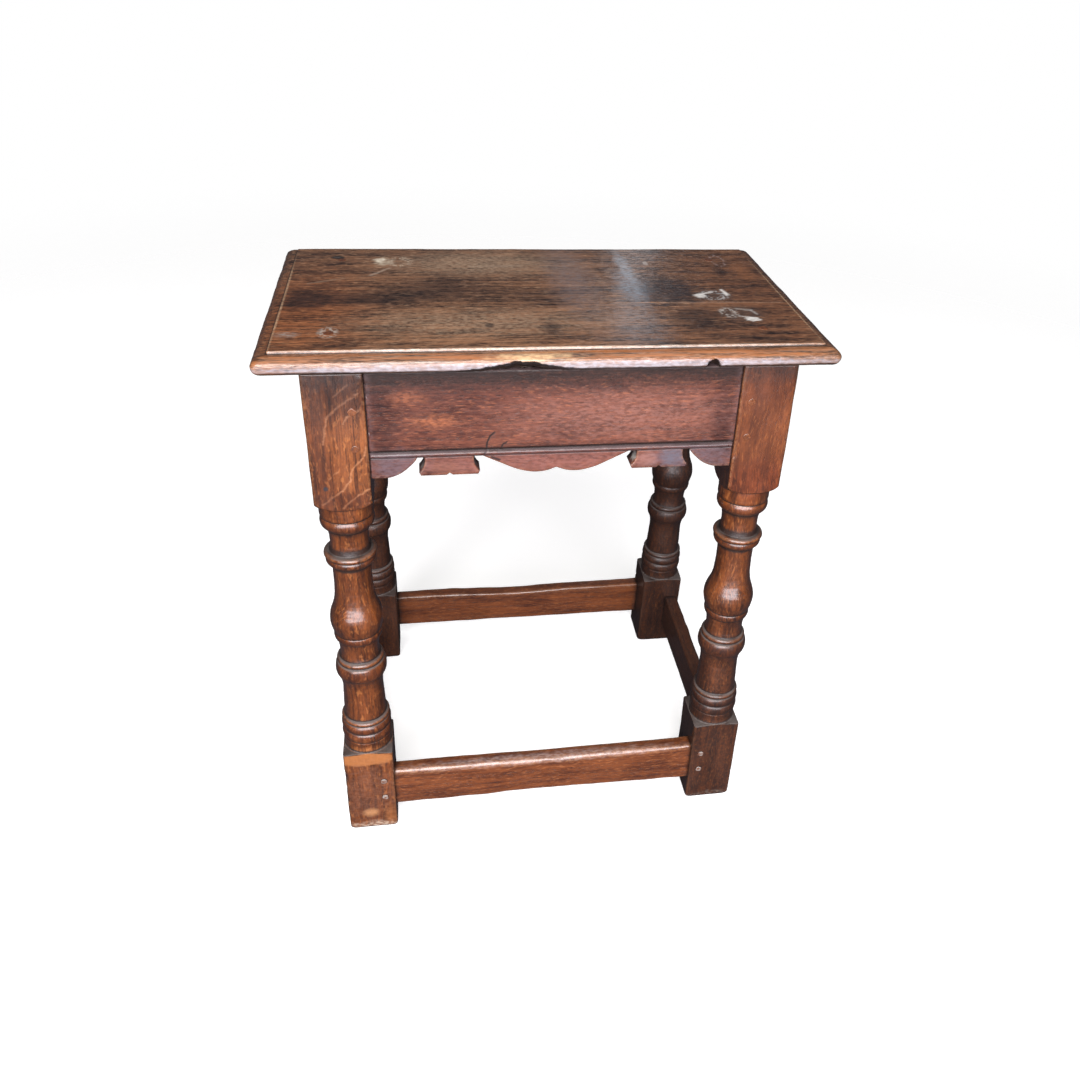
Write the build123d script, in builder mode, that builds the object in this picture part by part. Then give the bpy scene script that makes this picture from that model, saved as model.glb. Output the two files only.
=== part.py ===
from build123d import *

import os
from math import atan2, cos, sin

# Joint stool in oak: a moulded board pegged down on four turned and raked legs, which are
# joined by a fretted frieze under the board and by stretchers close to the floor.
# Millimetres. X runs along the stool, -Y is the front, Z is up, and the origin is on the
# floor below the middle of the board. The legs lean only across the width, along Y.

# Board
SEAT_HEIGHT = 540
BOARD_LENGTH = 490
BOARD_WIDTH = 280
BOARD_THICKNESS = 17
MOULDING_WIDTH = 12.8
STEP_DEPTH = 2.5
STEP_FLOOR = 0.8
NOSE_DROP = 9.5
UNDER_ROUND = 5

# Frame, over the outer faces of the legs
FRAME_LENGTH = 418
FRAME_WIDTH_TOP = 272
FRAME_WIDTH_FLOOR = 317
BILLET = 50
FOOT_WEAR = 2.5

# Frieze rails
RAIL_SETBACK = 2
RAIL_THICKNESS = 20
QUIRK_HEIGHT = 450.5
QUIRK_DEPTH = 2.4
BEAD_HEIGHT = 4
FRET_RECESS = 1

# The fret along the rails' lower edge: its heights, and from the middle of the front and end
# rails, where the middle lobe is lowest, where it ends, a tab's two sides and the end's start
FRET_LOW = 427
FRET_END = 426
FRET_NOTCH = 444.5
FRONT_FRET = (18, 64, 71.5, 113.5, 119.5)
END_FRET = (12, 28, 33, 54, 59)
TAB_FLARE = 5
TAB_HOLLOW = 1

# Stretchers
STRETCHER_SETBACK = 3.3
STRETCHER_THICKNESS = 16
STRETCHER_LOW = 32
STRETCHER_HIGH = 77.5

# Legs: where the square foot ends and the square head starts, along the lathe axis
FOOT_BLOCK_TOP = 108.5
HEAD_BLOCK_FOOT = 396

# Joints
TENON_LENGTH = 30
RAIL_TENON_THICKNESS = 10
RAIL_TENON_LOW = 436
RAIL_TENON_HIGH = 510
STRETCHER_TENON_THICKNESS = 8
STRETCHER_TENON_LOW = 35
STRETCHER_TENON_HIGH = 75
PEG_RADIUS = 3.5
PEG_DEPTH = 24
PEG_PROUD = 1
PEG_FROM_SHOULDER = 11
FRIEZE_PEG_HEIGHTS = (456, 490)
STRETCHER_PEG_HEIGHTS = (46, 69)
TOP_PEG_RADIUS = 4.5
TOP_PEG_DEPTH = 25
TOP_PEG_X = 187
TOP_PEG_Y = 92

# Worked out from the above
BOARD_UNDERSIDE = SEAT_HEIGHT - BOARD_THICKNESS
HALF_LENGTH = FRAME_LENGTH / 2
HALF_FLOOR = FRAME_WIDTH_FLOOR / 2
RAKE = atan2(HALF_FLOOR - FRAME_WIDTH_TOP / 2, BOARD_UNDERSIDE)
LONG_SHOULDER = HALF_LENGTH - BILLET
BILLET_CORNER = 0.72 * BILLET

# How far cutting shapes run past what they cut
OVERSIZE = 60

# The raked plane of the front leg faces, X along the stool and Y up the slope, and the
# upright plane of the left leg faces, with Y up. Both look outwards.
FRONT_FACE = Plane(origin=(0, -HALF_FLOOR, 0), x_dir=(1, 0, 0), z_dir=(0, -cos(RAKE), sin(RAKE)))
LEFT_FACE = Plane(origin=(-HALF_LENGTH, 0, 0), x_dir=(0, -1, 0), z_dir=(-1, 0, 0))

# The left front leg's lathe axis and the plane through it, with its origin on the floor
LEG_FOOT = (-HALF_LENGTH + BILLET / 2, -HALF_FLOOR + BILLET / 2 / cos(RAKE), 0)
LEG_PROFILE = Plane(origin=LEG_FOOT, x_dir=(1, 0, 0), z_dir=FRONT_FACE.z_dir)
LEG_SECTION = Plane(origin=LEG_FOOT, x_dir=(1, 0, 0), z_dir=FRONT_FACE.y_dir)
LEG_AXIS = Axis(origin=LEG_FOOT, direction=FRONT_FACE.y_dir)


def end_shoulder(height):
    """Half the distance between the front and back legs at a height: the end rails' length."""
    return HALF_FLOOR - height * sin(RAKE) / cos(RAKE) - BILLET / cos(RAKE)


# ---------------------------------------------------------------------------------------
# Board


def board_edge(half_span):
    """One half of the board's cross-section: a step, an ovolo, a nose and a rounded underside."""
    step_x = half_span - MOULDING_WIDTH
    step_z = SEAT_HEIGHT - STEP_DEPTH
    nose_z = SEAT_HEIGHT - NOSE_DROP
    ovolo_width = MOULDING_WIDTH - STEP_FLOOR
    ovolo_height = step_z - nose_z
    Polyline((0, SEAT_HEIGHT), (step_x, SEAT_HEIGHT), (step_x, step_z), (step_x + STEP_FLOOR, step_z))
    under_height = nose_z - BOARD_UNDERSIDE
    EllipticalCenterArc((step_x + STEP_FLOOR, nose_z), ovolo_width, ovolo_height, start_angle=0, arc_size=90)
    EllipticalCenterArc(
        (half_span - UNDER_ROUND, nose_z), UNDER_ROUND, under_height, start_angle=270, arc_size=90
    )
    Line((half_span - UNDER_ROUND, BOARD_UNDERSIDE), (0, BOARD_UNDERSIDE))


with BuildPart() as top_pegs:
    with BuildSketch(Plane.XY.offset(SEAT_HEIGHT)):
        with GridLocations(2 * TOP_PEG_X, 2 * TOP_PEG_Y, 2, 2):
            Circle(TOP_PEG_RADIUS)
    extrude(amount=-BOARD_THICKNESS - TOP_PEG_DEPTH)

# The cross-section runs the whole length, and the same edge cut across it mitres the corners
with BuildPart() as top_board:
    with BuildSketch(Plane.YZ) as across:
        with BuildLine():
            board_edge(BOARD_WIDTH / 2)
            mirror(about=Plane.YZ)
        make_face()
    extrude(amount=BOARD_LENGTH / 2 + OVERSIZE, both=True)
    with BuildSketch(Plane.XZ) as along:
        with BuildLine():
            board_edge(BOARD_LENGTH / 2)
            mirror(about=Plane.YZ)
        make_face()
    extrude(amount=BOARD_WIDTH / 2 + OVERSIZE, both=True, mode=Mode.INTERSECT)
    add(top_pegs.part, mode=Mode.SUBTRACT)

# ---------------------------------------------------------------------------------------
# Pegs of the left front leg: one pair through each tenon, driven in from the outer faces


def corner_pegs(heights):
    """The pegs through a long and an end tenon, at the given heights."""
    with BuildPart() as pegs:
        with BuildSketch(FRONT_FACE.offset(PEG_PROUD)):
            with Locations([(-LONG_SHOULDER - PEG_FROM_SHOULDER, height) for height in heights]):
                Circle(PEG_RADIUS)
        extrude(amount=-PEG_PROUD - PEG_DEPTH)
        with BuildSketch(LEFT_FACE.offset(PEG_PROUD)):
            with Locations([(end_shoulder(height) + PEG_FROM_SHOULDER, height) for height in heights]):
                Circle(PEG_RADIUS)
        extrude(amount=-PEG_PROUD - PEG_DEPTH)
    return pegs.part


frieze_pegs = corner_pegs(FRIEZE_PEG_HEIGHTS)
stretcher_pegs = corner_pegs(STRETCHER_PEG_HEIGHTS)


def four_corners(piece):
    """A left front piece and its three mirror images, one at each leg."""
    left = [piece, mirror(piece, about=Plane.XZ)]
    return left + [mirror(each, about=Plane.YZ) for each in left]


all_frieze_pegs = four_corners(frieze_pegs)
all_stretcher_pegs = four_corners(stretcher_pegs)

# ---------------------------------------------------------------------------------------
# Frieze rails


def fret_centre(lobe, notch):
    """Half of the middle lobe, from the cusp out to its notch."""
    Spline(
        (0, FRET_LOW + 4),
        (0.13 * notch, FRET_LOW + 1),
        (lobe, FRET_LOW),
        (0.5 * notch, FRET_LOW + 2.6),
        (0.76 * notch, FRET_LOW + 10),
        (notch, FRET_NOTCH),
    )


def fret_tab(start, end):
    """A tab with hollow, flared sides and a nick in the middle of its lower edge."""
    middle = (start + end) / 2
    ear_start = start - TAB_FLARE
    ear_end = end + TAB_FLARE
    ThreePointArc((start, FRET_NOTCH), (start - TAB_HOLLOW, FRET_LOW + 9), (ear_start, FRET_LOW + 3))
    Polyline(
        (ear_start, FRET_LOW + 3),
        (ear_start + 1.5, FRET_LOW),
        (middle - 2.5, FRET_LOW),
        (middle, FRET_LOW + 2),
        (middle + 2.5, FRET_LOW),
        (ear_end - 1.5, FRET_LOW),
        (ear_end, FRET_LOW + 3),
    )
    ThreePointArc((ear_end, FRET_LOW + 3), (end + TAB_HOLLOW, FRET_LOW + 9), (end, FRET_NOTCH))


def fret_end(notch, shoulder):
    """The half ogee that runs down into the leg, and on past the shoulder."""
    reach = shoulder - notch
    Spline(
        (notch, FRET_NOTCH),
        (notch + 0.16 * reach, FRET_LOW + 9.5),
        (notch + 0.38 * reach, FRET_LOW + 2.6),
        (notch + 0.68 * reach, FRET_END),
        tangents=((0.4, -1), (1, 0)),
    )
    Line((notch + 0.68 * reach, FRET_END), (shoulder + OVERSIZE, FRET_END))


def half_rail(fret, shoulder):
    """Outline of half a rail: its fret from the middle to the leg, and round above the board."""
    lobe, notch, tab_start, tab_end, ogee = fret
    top = BOARD_UNDERSIDE + OVERSIZE
    fret_centre(lobe, notch)
    Line((notch, FRET_NOTCH), (tab_start, FRET_NOTCH))
    fret_tab(tab_start, tab_end)
    Line((tab_end, FRET_NOTCH), (ogee, FRET_NOTCH))
    fret_end(ogee, shoulder)
    Polyline((shoulder + OVERSIZE, FRET_END), (shoulder + OVERSIZE, top), (0, top))


def rail_mould():
    """Outline across a rail, with its face at x = 0: plain field, quirk, bead and lower field."""
    top = BOARD_UNDERSIDE + OVERSIZE
    bead_top = QUIRK_HEIGHT - 0.6
    bead_foot = bead_top - BEAD_HEIGHT
    Polyline((0, top), (0, QUIRK_HEIGHT + 0.8), (-QUIRK_DEPTH, QUIRK_HEIGHT), (-0.8, bead_top))
    ThreePointArc((-0.8, bead_top), (0, bead_top - BEAD_HEIGHT / 2), (-0.8, bead_foot))
    Polyline(
        (-0.8, bead_foot),
        (-FRET_RECESS - 0.8, bead_foot - 0.5),
        (-FRET_RECESS, bead_foot - 1),
        (-FRET_RECESS, FRET_END - 10),
        (-RAIL_THICKNESS, FRET_END - 10),
        (-RAIL_THICKNESS, top),
        (0, top),
    )


FRONT_SECTION = Plane(
    origin=FRONT_FACE.offset(-RAIL_SETBACK).origin, x_dir=FRONT_FACE.z_dir, z_dir=FRONT_FACE.x_dir * -1
)
END_SECTION = Plane(
    origin=LEFT_FACE.offset(-RAIL_SETBACK).origin, x_dir=LEFT_FACE.z_dir, z_dir=LEFT_FACE.x_dir * -1
)


def long_board(low, high, beyond=0, mode=Mode.ADD):
    """Outline between the left and right legs, or that far into them at both ends."""
    with Locations((0, (low + high) / 2)):
        Rectangle(2 * (LONG_SHOULDER + beyond), high - low, mode=mode)


def end_board(low, high, beyond=0, mode=Mode.ADD):
    """Outline between the raked front and back legs, or that far into them at both ends."""
    Polygon(
        (-end_shoulder(low) - beyond, low),
        (end_shoulder(low) + beyond, low),
        (end_shoulder(high) + beyond, high),
        (-end_shoulder(high) - beyond, high),
        align=None,
        mode=mode,
    )


def tenons(face, board, setback, thickness, low, high):
    """The two tenons of a rail or stretcher, past the shoulders that its board ends at."""
    with BuildSketch(face.offset(-setback)) as ends:
        board(low, high, TENON_LENGTH)
        board(-OVERSIZE, SEAT_HEIGHT + OVERSIZE, 0, Mode.SUBTRACT)
    extrude(ends.sketch, amount=-thickness)


def finish_rail(face, board, section):
    """Moulds a rail's face, adds its tenons, planes its top level and bores its peg holes."""
    with BuildSketch(section) as mould:
        with BuildLine():
            rail_mould()
        make_face()
    extrude(mould.sketch, amount=FRAME_LENGTH, both=True, mode=Mode.INTERSECT)
    setback = RAIL_SETBACK + (RAIL_THICKNESS - RAIL_TENON_THICKNESS) / 2
    tenons(face, board, setback, RAIL_TENON_THICKNESS, RAIL_TENON_LOW, RAIL_TENON_HIGH)
    split(bisect_by=Plane.XY.offset(BOARD_UNDERSIDE), keep=Keep.BOTTOM)
    for pegs in all_frieze_pegs:
        add(pegs, mode=Mode.SUBTRACT)


with BuildPart() as front_rail:
    with BuildSketch(FRONT_FACE.offset(-RAIL_SETBACK)):
        with BuildLine():
            half_rail(FRONT_FRET, LONG_SHOULDER)
            mirror(about=Plane.YZ)
        make_face()
        long_board(0, 2 * SEAT_HEIGHT, mode=Mode.INTERSECT)
    extrude(amount=-RAIL_THICKNESS)
    finish_rail(FRONT_FACE, long_board, FRONT_SECTION)

with BuildPart() as left_rail:
    with BuildSketch(LEFT_FACE.offset(-RAIL_SETBACK)):
        with BuildLine():
            half_rail(END_FRET, end_shoulder(FRET_END))
            mirror(about=Plane.YZ)
        make_face()
        end_board(0, 2 * SEAT_HEIGHT, mode=Mode.INTERSECT)
    extrude(amount=-RAIL_THICKNESS)
    finish_rail(LEFT_FACE, end_board, END_SECTION)

# ---------------------------------------------------------------------------------------
# Stretchers


def stretcher(face, board):
    """A plain board set back from the leg faces, with its tenons and peg holes."""
    with BuildSketch(face.offset(-STRETCHER_SETBACK)) as blank:
        board(STRETCHER_LOW, STRETCHER_HIGH)
    extrude(blank.sketch, amount=-STRETCHER_THICKNESS)
    setback = STRETCHER_SETBACK + (STRETCHER_THICKNESS - STRETCHER_TENON_THICKNESS) / 2
    tenons(face, board, setback, STRETCHER_TENON_THICKNESS, STRETCHER_TENON_LOW, STRETCHER_TENON_HIGH)
    for pegs in all_stretcher_pegs:
        add(pegs, mode=Mode.SUBTRACT)


with BuildPart() as front_stretcher:
    stretcher(FRONT_FACE, long_board)

with BuildPart() as left_stretcher:
    stretcher(LEFT_FACE, end_board)

# ---------------------------------------------------------------------------------------
# Legs. The billet is squared, then turned between its head and foot blocks. The profile runs
# up from the floor: radius and height above it, along the raked axis.

with BuildPart() as leg:
    with BuildSketch(LEG_PROFILE):
        with BuildLine():
            # Foot block with an almost level shoulder, and the drum on it
            Polyline((0, -OVERSIZE), (BILLET_CORNER, -OVERSIZE), (BILLET_CORNER, 106.6))
            ThreePointArc((BILLET_CORNER, 106.6), (29.5, 108), (24.3, FOOT_BLOCK_TOP))
            ThreePointArc((24.3, FOOT_BLOCK_TOP), (23.8, 114.5), (24.2, 120.5))
            # Two rings and a bead at the foot of the column
            Polyline((24.2, 120.5), (23.6, 121), (24, 121.6))
            ThreePointArc((24, 121.6), (25, 126.2), (23.8, 131))
            Polyline((23.8, 131), (22.8, 131.8), (23.6, 132.6))
            ThreePointArc((23.6, 132.6), (24.8, 137), (23.4, 141.5))
            Polyline((23.4, 141.5), (22.2, 142.3), (23, 143))
            ThreePointArc((23, 143), (23.9, 145), (22.9, 147))
            Line((22.9, 147), (20.9, 148))
            # Column, flared under the large ring
            Spline((20.9, 148), (20.6, 160), (20, 175), (19.8, 186), (20.7, 193), (22.3, 198.5))
            # Large ring and its bead
            Line((22.3, 198.5), (22.8, 199))
            ThreePointArc((22.8, 199), (24.9, 206.8), (23.2, 214.6))
            Polyline((23.2, 214.6), (21.4, 215.5), (21.8, 216.3))
            ThreePointArc((21.8, 216.3), (22.6, 218.4), (21.6, 220.5))
            Line((21.6, 220.5), (19.6, 221.4))
            # Hollow neck and small ring under the bulb
            Spline((19.6, 221.4), (18.8, 226), (18.7, 231), (19.2, 237), (20.3, 243))
            Line((20.3, 243), (21.5, 243.8))
            ThreePointArc((21.5, 243.8), (22.7, 247.5), (22.3, 251.2))
            Polyline((22.3, 251.2), (21.7, 252.1), (22.6, 253))
            # Bulb and long neck
            Spline((22.6, 253), (24.2, 259), (25.1, 266), (24.2, 273), (21.8, 280), (19.8, 286), (18.6, 292))
            Spline((18.6, 292), (17.9, 300), (17.5, 315), (17.8, 328.5), tangents=((-1.1, 8), (1, 8)))
            # Collar ring and its bead
            Line((17.8, 328.5), (19.8, 329.6))
            ThreePointArc((19.8, 329.6), (22.9, 333.8), (22.4, 337.2))
            Polyline((22.4, 337.2), (21.9, 337.7), (22.9, 338.2))
            ThreePointArc((22.9, 338.2), (24.1, 340.5), (22.9, 342.8))
            Line((22.9, 342.8), (18.9, 343.7))
            # Short hollow neck
            Spline((18.9, 343.7), (17.8, 349), (17.5, 356), (17.9, 362), (19.2, 368.3))
            # Ring and drum under the head block
            Line((19.2, 368.3), (20.6, 368.9))
            ThreePointArc((20.6, 368.9), (24.4, 375), (23.2, 380.6))
            Polyline((23.2, 380.6), (22.6, 381.4), (23.9, 382.2), (24.3, 384), (24.3, HEAD_BLOCK_FOOT))
            ThreePointArc((24.3, HEAD_BLOCK_FOOT), (32.5, 400), (BILLET_CORNER, 410))
            Polyline(
                (BILLET_CORNER, 410),
                (BILLET_CORNER, SEAT_HEIGHT + OVERSIZE),
                (0, SEAT_HEIGHT + OVERSIZE),
                (0, -OVERSIZE),
            )
        make_face()
    revolve(axis=LEG_AXIS)
    with BuildSketch(LEG_SECTION.offset(-OVERSIZE)):
        Rectangle(BILLET, BILLET)
    extrude(amount=SEAT_HEIGHT + 2 * OVERSIZE, mode=Mode.INTERSECT)
    split(bisect_by=Plane.XY.offset(BOARD_UNDERSIDE), keep=Keep.BOTTOM)
    split(bisect_by=Plane.XY, keep=Keep.TOP)
    chamfer(leg.faces().sort_by(Axis.Z)[0].edges(), FOOT_WEAR)
    for joined in (front_rail, left_rail, front_stretcher, left_stretcher, top_pegs):
        add(joined.part, mode=Mode.SUBTRACT)
    add(frieze_pegs, mode=Mode.SUBTRACT)
    add(stretcher_pegs, mode=Mode.SUBTRACT)

# ---------------------------------------------------------------------------------------
# The left front pieces and their mirror images, each written as a node of its own

CORNERS = ("front_left", "back_left", "front_right", "back_right")
nodes = {"top_board": top_board.part, "top_pegs": top_pegs.part}
for name, piece in (
    ("leg", leg.part),
    ("frieze_pegs", frieze_pegs),
    ("stretcher_pegs", stretcher_pegs),
):
    for corner, copy in zip(CORNERS, four_corners(piece)):
        nodes[f"{name}_{corner}"] = copy
for name, long_piece, end_piece in (
    ("frieze_rail", front_rail.part, left_rail.part),
    ("stretcher", front_stretcher.part, left_stretcher.part),
):
    nodes[f"{name}_front"] = long_piece
    nodes[f"{name}_back"] = mirror(long_piece, about=Plane.XZ)
    nodes[f"{name}_left"] = end_piece
    nodes[f"{name}_right"] = mirror(end_piece, about=Plane.YZ)

os.makedirs("parts", exist_ok=True)
for name, piece in nodes.items():
    with BuildPart() as node:
        add(piece)
    node.part.label = name
    export_step(node.part, f"parts/{name}.step")
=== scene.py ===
import math

import bmesh
import bpy
import numpy as np
from bpy.props import FloatProperty, FloatVectorProperty, PointerProperty
from bpy.types import Operator, Panel, PropertyGroup
from mathutils import Matrix, Vector, geometry, noise


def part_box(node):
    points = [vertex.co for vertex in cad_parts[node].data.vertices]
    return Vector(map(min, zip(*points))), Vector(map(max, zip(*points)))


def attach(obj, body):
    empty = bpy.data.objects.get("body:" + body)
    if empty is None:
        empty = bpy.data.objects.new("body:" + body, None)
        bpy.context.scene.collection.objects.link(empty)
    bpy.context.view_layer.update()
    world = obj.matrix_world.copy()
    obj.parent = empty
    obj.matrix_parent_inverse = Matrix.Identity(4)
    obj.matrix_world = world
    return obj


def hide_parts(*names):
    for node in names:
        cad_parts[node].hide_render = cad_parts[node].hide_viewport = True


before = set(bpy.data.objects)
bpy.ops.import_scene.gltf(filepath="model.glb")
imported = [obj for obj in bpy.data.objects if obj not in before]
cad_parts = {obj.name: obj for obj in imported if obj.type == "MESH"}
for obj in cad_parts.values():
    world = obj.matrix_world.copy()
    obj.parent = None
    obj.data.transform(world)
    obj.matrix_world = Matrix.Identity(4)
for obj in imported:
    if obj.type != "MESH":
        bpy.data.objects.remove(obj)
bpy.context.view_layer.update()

bl_info = {
    "name": "Old oak joint stool",
    "version": (1, 0, 0),
    "blender": (4, 5, 0),
    "location": "View3D > Sidebar > Joint stool",
    "description": "Dresses a joint stool's board, legs, frieze, stretchers and pegs in old oak",
    "category": "Object",
}

# Shapes are worked out in millimetres in the stool's own frame: X runs along the stool, -Y is the
# front, Z is up, and the origin is on the floor below the middle of the board.
MM = 0.001

# ---------------------------------------------------------------------------------------
# Sizes read from the frame, in millimetres


def box_mm(node):
    """Lowest and highest corner of a node."""
    low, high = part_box(node)
    return np.array(low) / MM, np.array(high) / MM


BOARD_LOW, BOARD_HIGH = box_mm("top_board")
LEG_LOW, LEG_HIGH = box_mm("leg_front_left")
UNDERSIDE = BOARD_LOW[2]
SEAT = BOARD_HIGH[2]
HALF_BOARD = BOARD_HIGH[:2]
HALF_FRAME = -LEG_LOW[0]
BILLET = LEG_HIGH[0] - LEG_LOW[0]

# Sizes of the stool's own pieces, in millimetres
HALF_FLOOR = 158.5
HALF_TOP = 136.0
RAKE = math.atan2(HALF_FLOOR - HALF_TOP, UNDERSIDE)
LONG_SHOULDER = HALF_FRAME - BILLET
RAIL_FACE = HALF_FLOOR - 470.0 * math.tan(RAKE)
SOCKET = 0.8

RAIL_SETBACK = 2.0
RAIL_THICKNESS = 20.0
QUIRK_HEIGHT = 450.5
FRET_LOW = 427.0
FRET_END = 426.0
FRET_NOTCH = 444.5
TAB_FLARE = 5.0
FRONT_FRET = (18.0, 64.0, 71.5, 113.5, 119.5)
END_FRET = (12.0, 28.0, 33.0, 54.0, 59.0)

STRETCHER_SETBACK = 3.3
STRETCHER_THICKNESS = 16.0
STRETCHER_LOW = 32.0
STRETCHER_HIGH = 77.5

PEG_RADIUS = 3.5
PEG_DEPTH = 24.0
PEG_FROM_SHOULDER = 11.0
FRIEZE_PEG_HEIGHTS = (456.0, 490.0)
STRETCHER_PEG_HEIGHTS = (46.0, 69.0)
TOP_PEG = (187.0, 92.0)
TOP_PEG_RADIUS = 4.5
TOP_PEG_LENGTH = 42.0

# Corners, as the signs of X and Y that mirror the left front piece onto them
CORNERS = {"front_left": (1, 1), "back_left": (1, -1), "front_right": (-1, 1), "back_right": (-1, -1)}

# ---------------------------------------------------------------------------------------
# Helpers for shapes


class Face:
    """The plane of the leg faces on one side. Points lie across it, up it and behind it, in mm."""

    def __init__(self, origin, across, up):
        self.origin = np.array(origin)
        self.across = np.array(across)
        self.up = np.array(up)
        self.inward = np.cross(self.up, self.across)

    def at(self, across, up, depth):
        """The points at those distances across, up and behind the plane."""
        on_plane = self.origin + np.multiply.outer(across, self.across) + np.multiply.outer(up, self.up)
        return on_plane + np.multiply.outer(depth, self.inward)


FRONT_FACE = Face((0.0, -HALF_FLOOR, 0.0), (1.0, 0.0, 0.0), (0.0, math.sin(RAKE), math.cos(RAKE)))
LEFT_FACE = Face((-HALF_FRAME, 0.0, 0.0), (0.0, -1.0, 0.0), (0.0, 0.0, 1.0))
LEG_FOOT = np.array((-HALF_FRAME + BILLET / 2, -HALF_FLOOR + BILLET / 2 / math.cos(RAKE), 0.0))


def end_shoulder(height):
    """Half the distance between the front and back legs at a height."""
    return HALF_FLOOR - height * math.tan(RAKE) - BILLET / math.cos(RAKE)


def long_shoulder(height):
    """Half the distance between the left and right legs, the same at every height."""
    return LONG_SHOULDER + 0.0 * height


def wobble(points, size, seed=0.0):
    """Smooth noise from about -1 to 1 at each point, its bumps about size across."""
    shift = Vector((17.3 * seed, 5.1 * seed, 9.7 * seed))
    return np.array([noise.noise(Vector(point) + shift) for point in points / size])


def ease(value, low, high):
    """0 below low, 1 above high and a smooth step between."""
    t = np.clip((value - low) / (high - low), 0.0, 1.0)
    return t * t * (3.0 - 2.0 * t)


def stations(low, high, coarse, fine_zones=()):
    """Places from low to high, coarse apart but closer near each (centre, reach, step)."""
    places = [low]
    while places[-1] < high:
        step = coarse
        for centre, reach, fine in fine_zones:
            away = max(abs(places[-1] - centre) - reach, 0.0)
            step = min(step, fine + 0.25 * away)
        places.append(places[-1] + step)
    places = np.array(places)
    return low + (places - low) * (high - low) / (places[-1] - low)


def arc(start, middle, end):
    """A circle's arc through three points, as many short chords."""
    (ax, ay), (bx, by), (cx, cy) = start, middle, end
    d = 2.0 * (ax * (by - cy) + bx * (cy - ay) + cx * (ay - by))
    a, b, c = (ax * ax + ay * ay), (bx * bx + by * by), (cx * cx + cy * cy)
    centre = np.array(((a * (by - cy) + b * (cy - ay) + c * (ay - by)) / d,
                       (a * (cx - bx) + b * (ax - cx) + c * (bx - ax)) / d))
    angles = [math.atan2(*(np.array(p) - centre)[::-1]) for p in (start, middle, end)]
    angles = np.unwrap(angles)
    radius = math.dist(start, centre)
    turn = np.linspace(angles[0], angles[2], 33)
    return centre + radius * np.column_stack((np.cos(turn), np.sin(turn)))


def curve(*points, start=None, end=None):
    """A smooth curve through points, with optional directions at its ends."""
    points = np.array(points, float)
    spans = np.linalg.norm(np.diff(points, axis=0), axis=1)
    knots = np.concatenate(([0.0], np.cumsum(spans)))
    slopes = np.gradient(points, knots, axis=0)
    for index, direction in ((0, start), (-1, end)):
        if direction is not None:
            slopes[index] = np.array(direction) / np.linalg.norm(direction)
    drawn = [points[:1]]
    for i, span in enumerate(spans):
        t = np.linspace(0.0, 1.0, 13)[1:, None]
        drawn.append(
            (2 * t**3 - 3 * t**2 + 1) * points[i] + (t**3 - 2 * t**2 + t) * span * slopes[i]
            + (3 * t**2 - 2 * t**3) * points[i + 1] + (t**3 - t**2) * span * slopes[i + 1]
        )
    return np.concatenate(drawn)


def even(path, step):
    """Points along a path at equal distances, no further apart than step, keeping its ends."""
    path = np.array(path, float)
    lengths = np.concatenate(([0.0], np.cumsum(np.linalg.norm(np.diff(path, axis=0), axis=1))))
    count = max(int(math.ceil(lengths[-1] / step)), 1)
    wanted = np.linspace(0.0, lengths[-1], count + 1)
    return np.column_stack([np.interp(wanted, lengths, path[:, axis]) for axis in (0, 1)])


def trace(strokes, step):
    """The strokes joined end to end, each divided evenly."""
    parts = [even(stroke, step)[:-1] for stroke in strokes]
    return np.concatenate(parts + [np.array(strokes[-1][-1:], float)])


def quads(rows, columns, closed=False, first=0):
    """Faces between neighbouring rows of a grid of vertices, closed around its columns or not."""
    last = columns if closed else columns - 1
    faces = []
    for row in range(rows - 1):
        for column in range(last):
            right = (column + 1) % columns
            low = first + row * columns
            high = low + columns
            faces.append((low + column, low + right, high + right, high + column))
    return faces


def log_grain(along, first, second, pith, start=0.0):
    """Where points lie in the log: along it, out from its pith, and round it, in mm."""
    a = first - pith[0]
    b = second - pith[1]
    base = math.atan2(-pith[1], -pith[0])
    turn = np.angle(np.exp(1j * (np.arctan2(b, a) - base)))
    return np.column_stack((along + start, np.hypot(a, b), turn * math.hypot(*pith)))


def make_piece(name, points, faces, material, slot, nodes, grain, grime, wear, dust=None):
    """A mesh that stands for its nodes, with its place in the log, its dark wax and painted shade, wear and
    dust.
    """
    mesh = bpy.data.meshes.new(name)
    mesh.from_pydata((points * MM).tolist(), [], faces)
    dust = np.zeros(len(points)) if dust is None else dust
    for label, values in (("grime", grime), ("wear", wear), ("dust", dust)):
        layer = mesh.attributes.new(label, "FLOAT", "POINT")
        layer.data.foreach_set("value", np.clip(values, 0.0, 1.0).astype(np.float32))
    layer = mesh.attributes.new("grain", "FLOAT_VECTOR", "POINT")
    layer.data.foreach_set("vector", grain.astype(np.float32).ravel())
    shell = bmesh.new()
    shell.from_mesh(mesh)
    bmesh.ops.recalc_face_normals(shell, faces=shell.faces)
    shell.to_mesh(mesh)
    shell.free()
    mesh.shade_smooth()
    mesh.materials.append(material)
    piece = bpy.data.objects.new(name, mesh)
    bpy.context.scene.collection.objects.link(piece)
    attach(piece, "root")
    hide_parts(*nodes)
    return piece


# ---------------------------------------------------------------------------------------
# Helpers for materials


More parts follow.
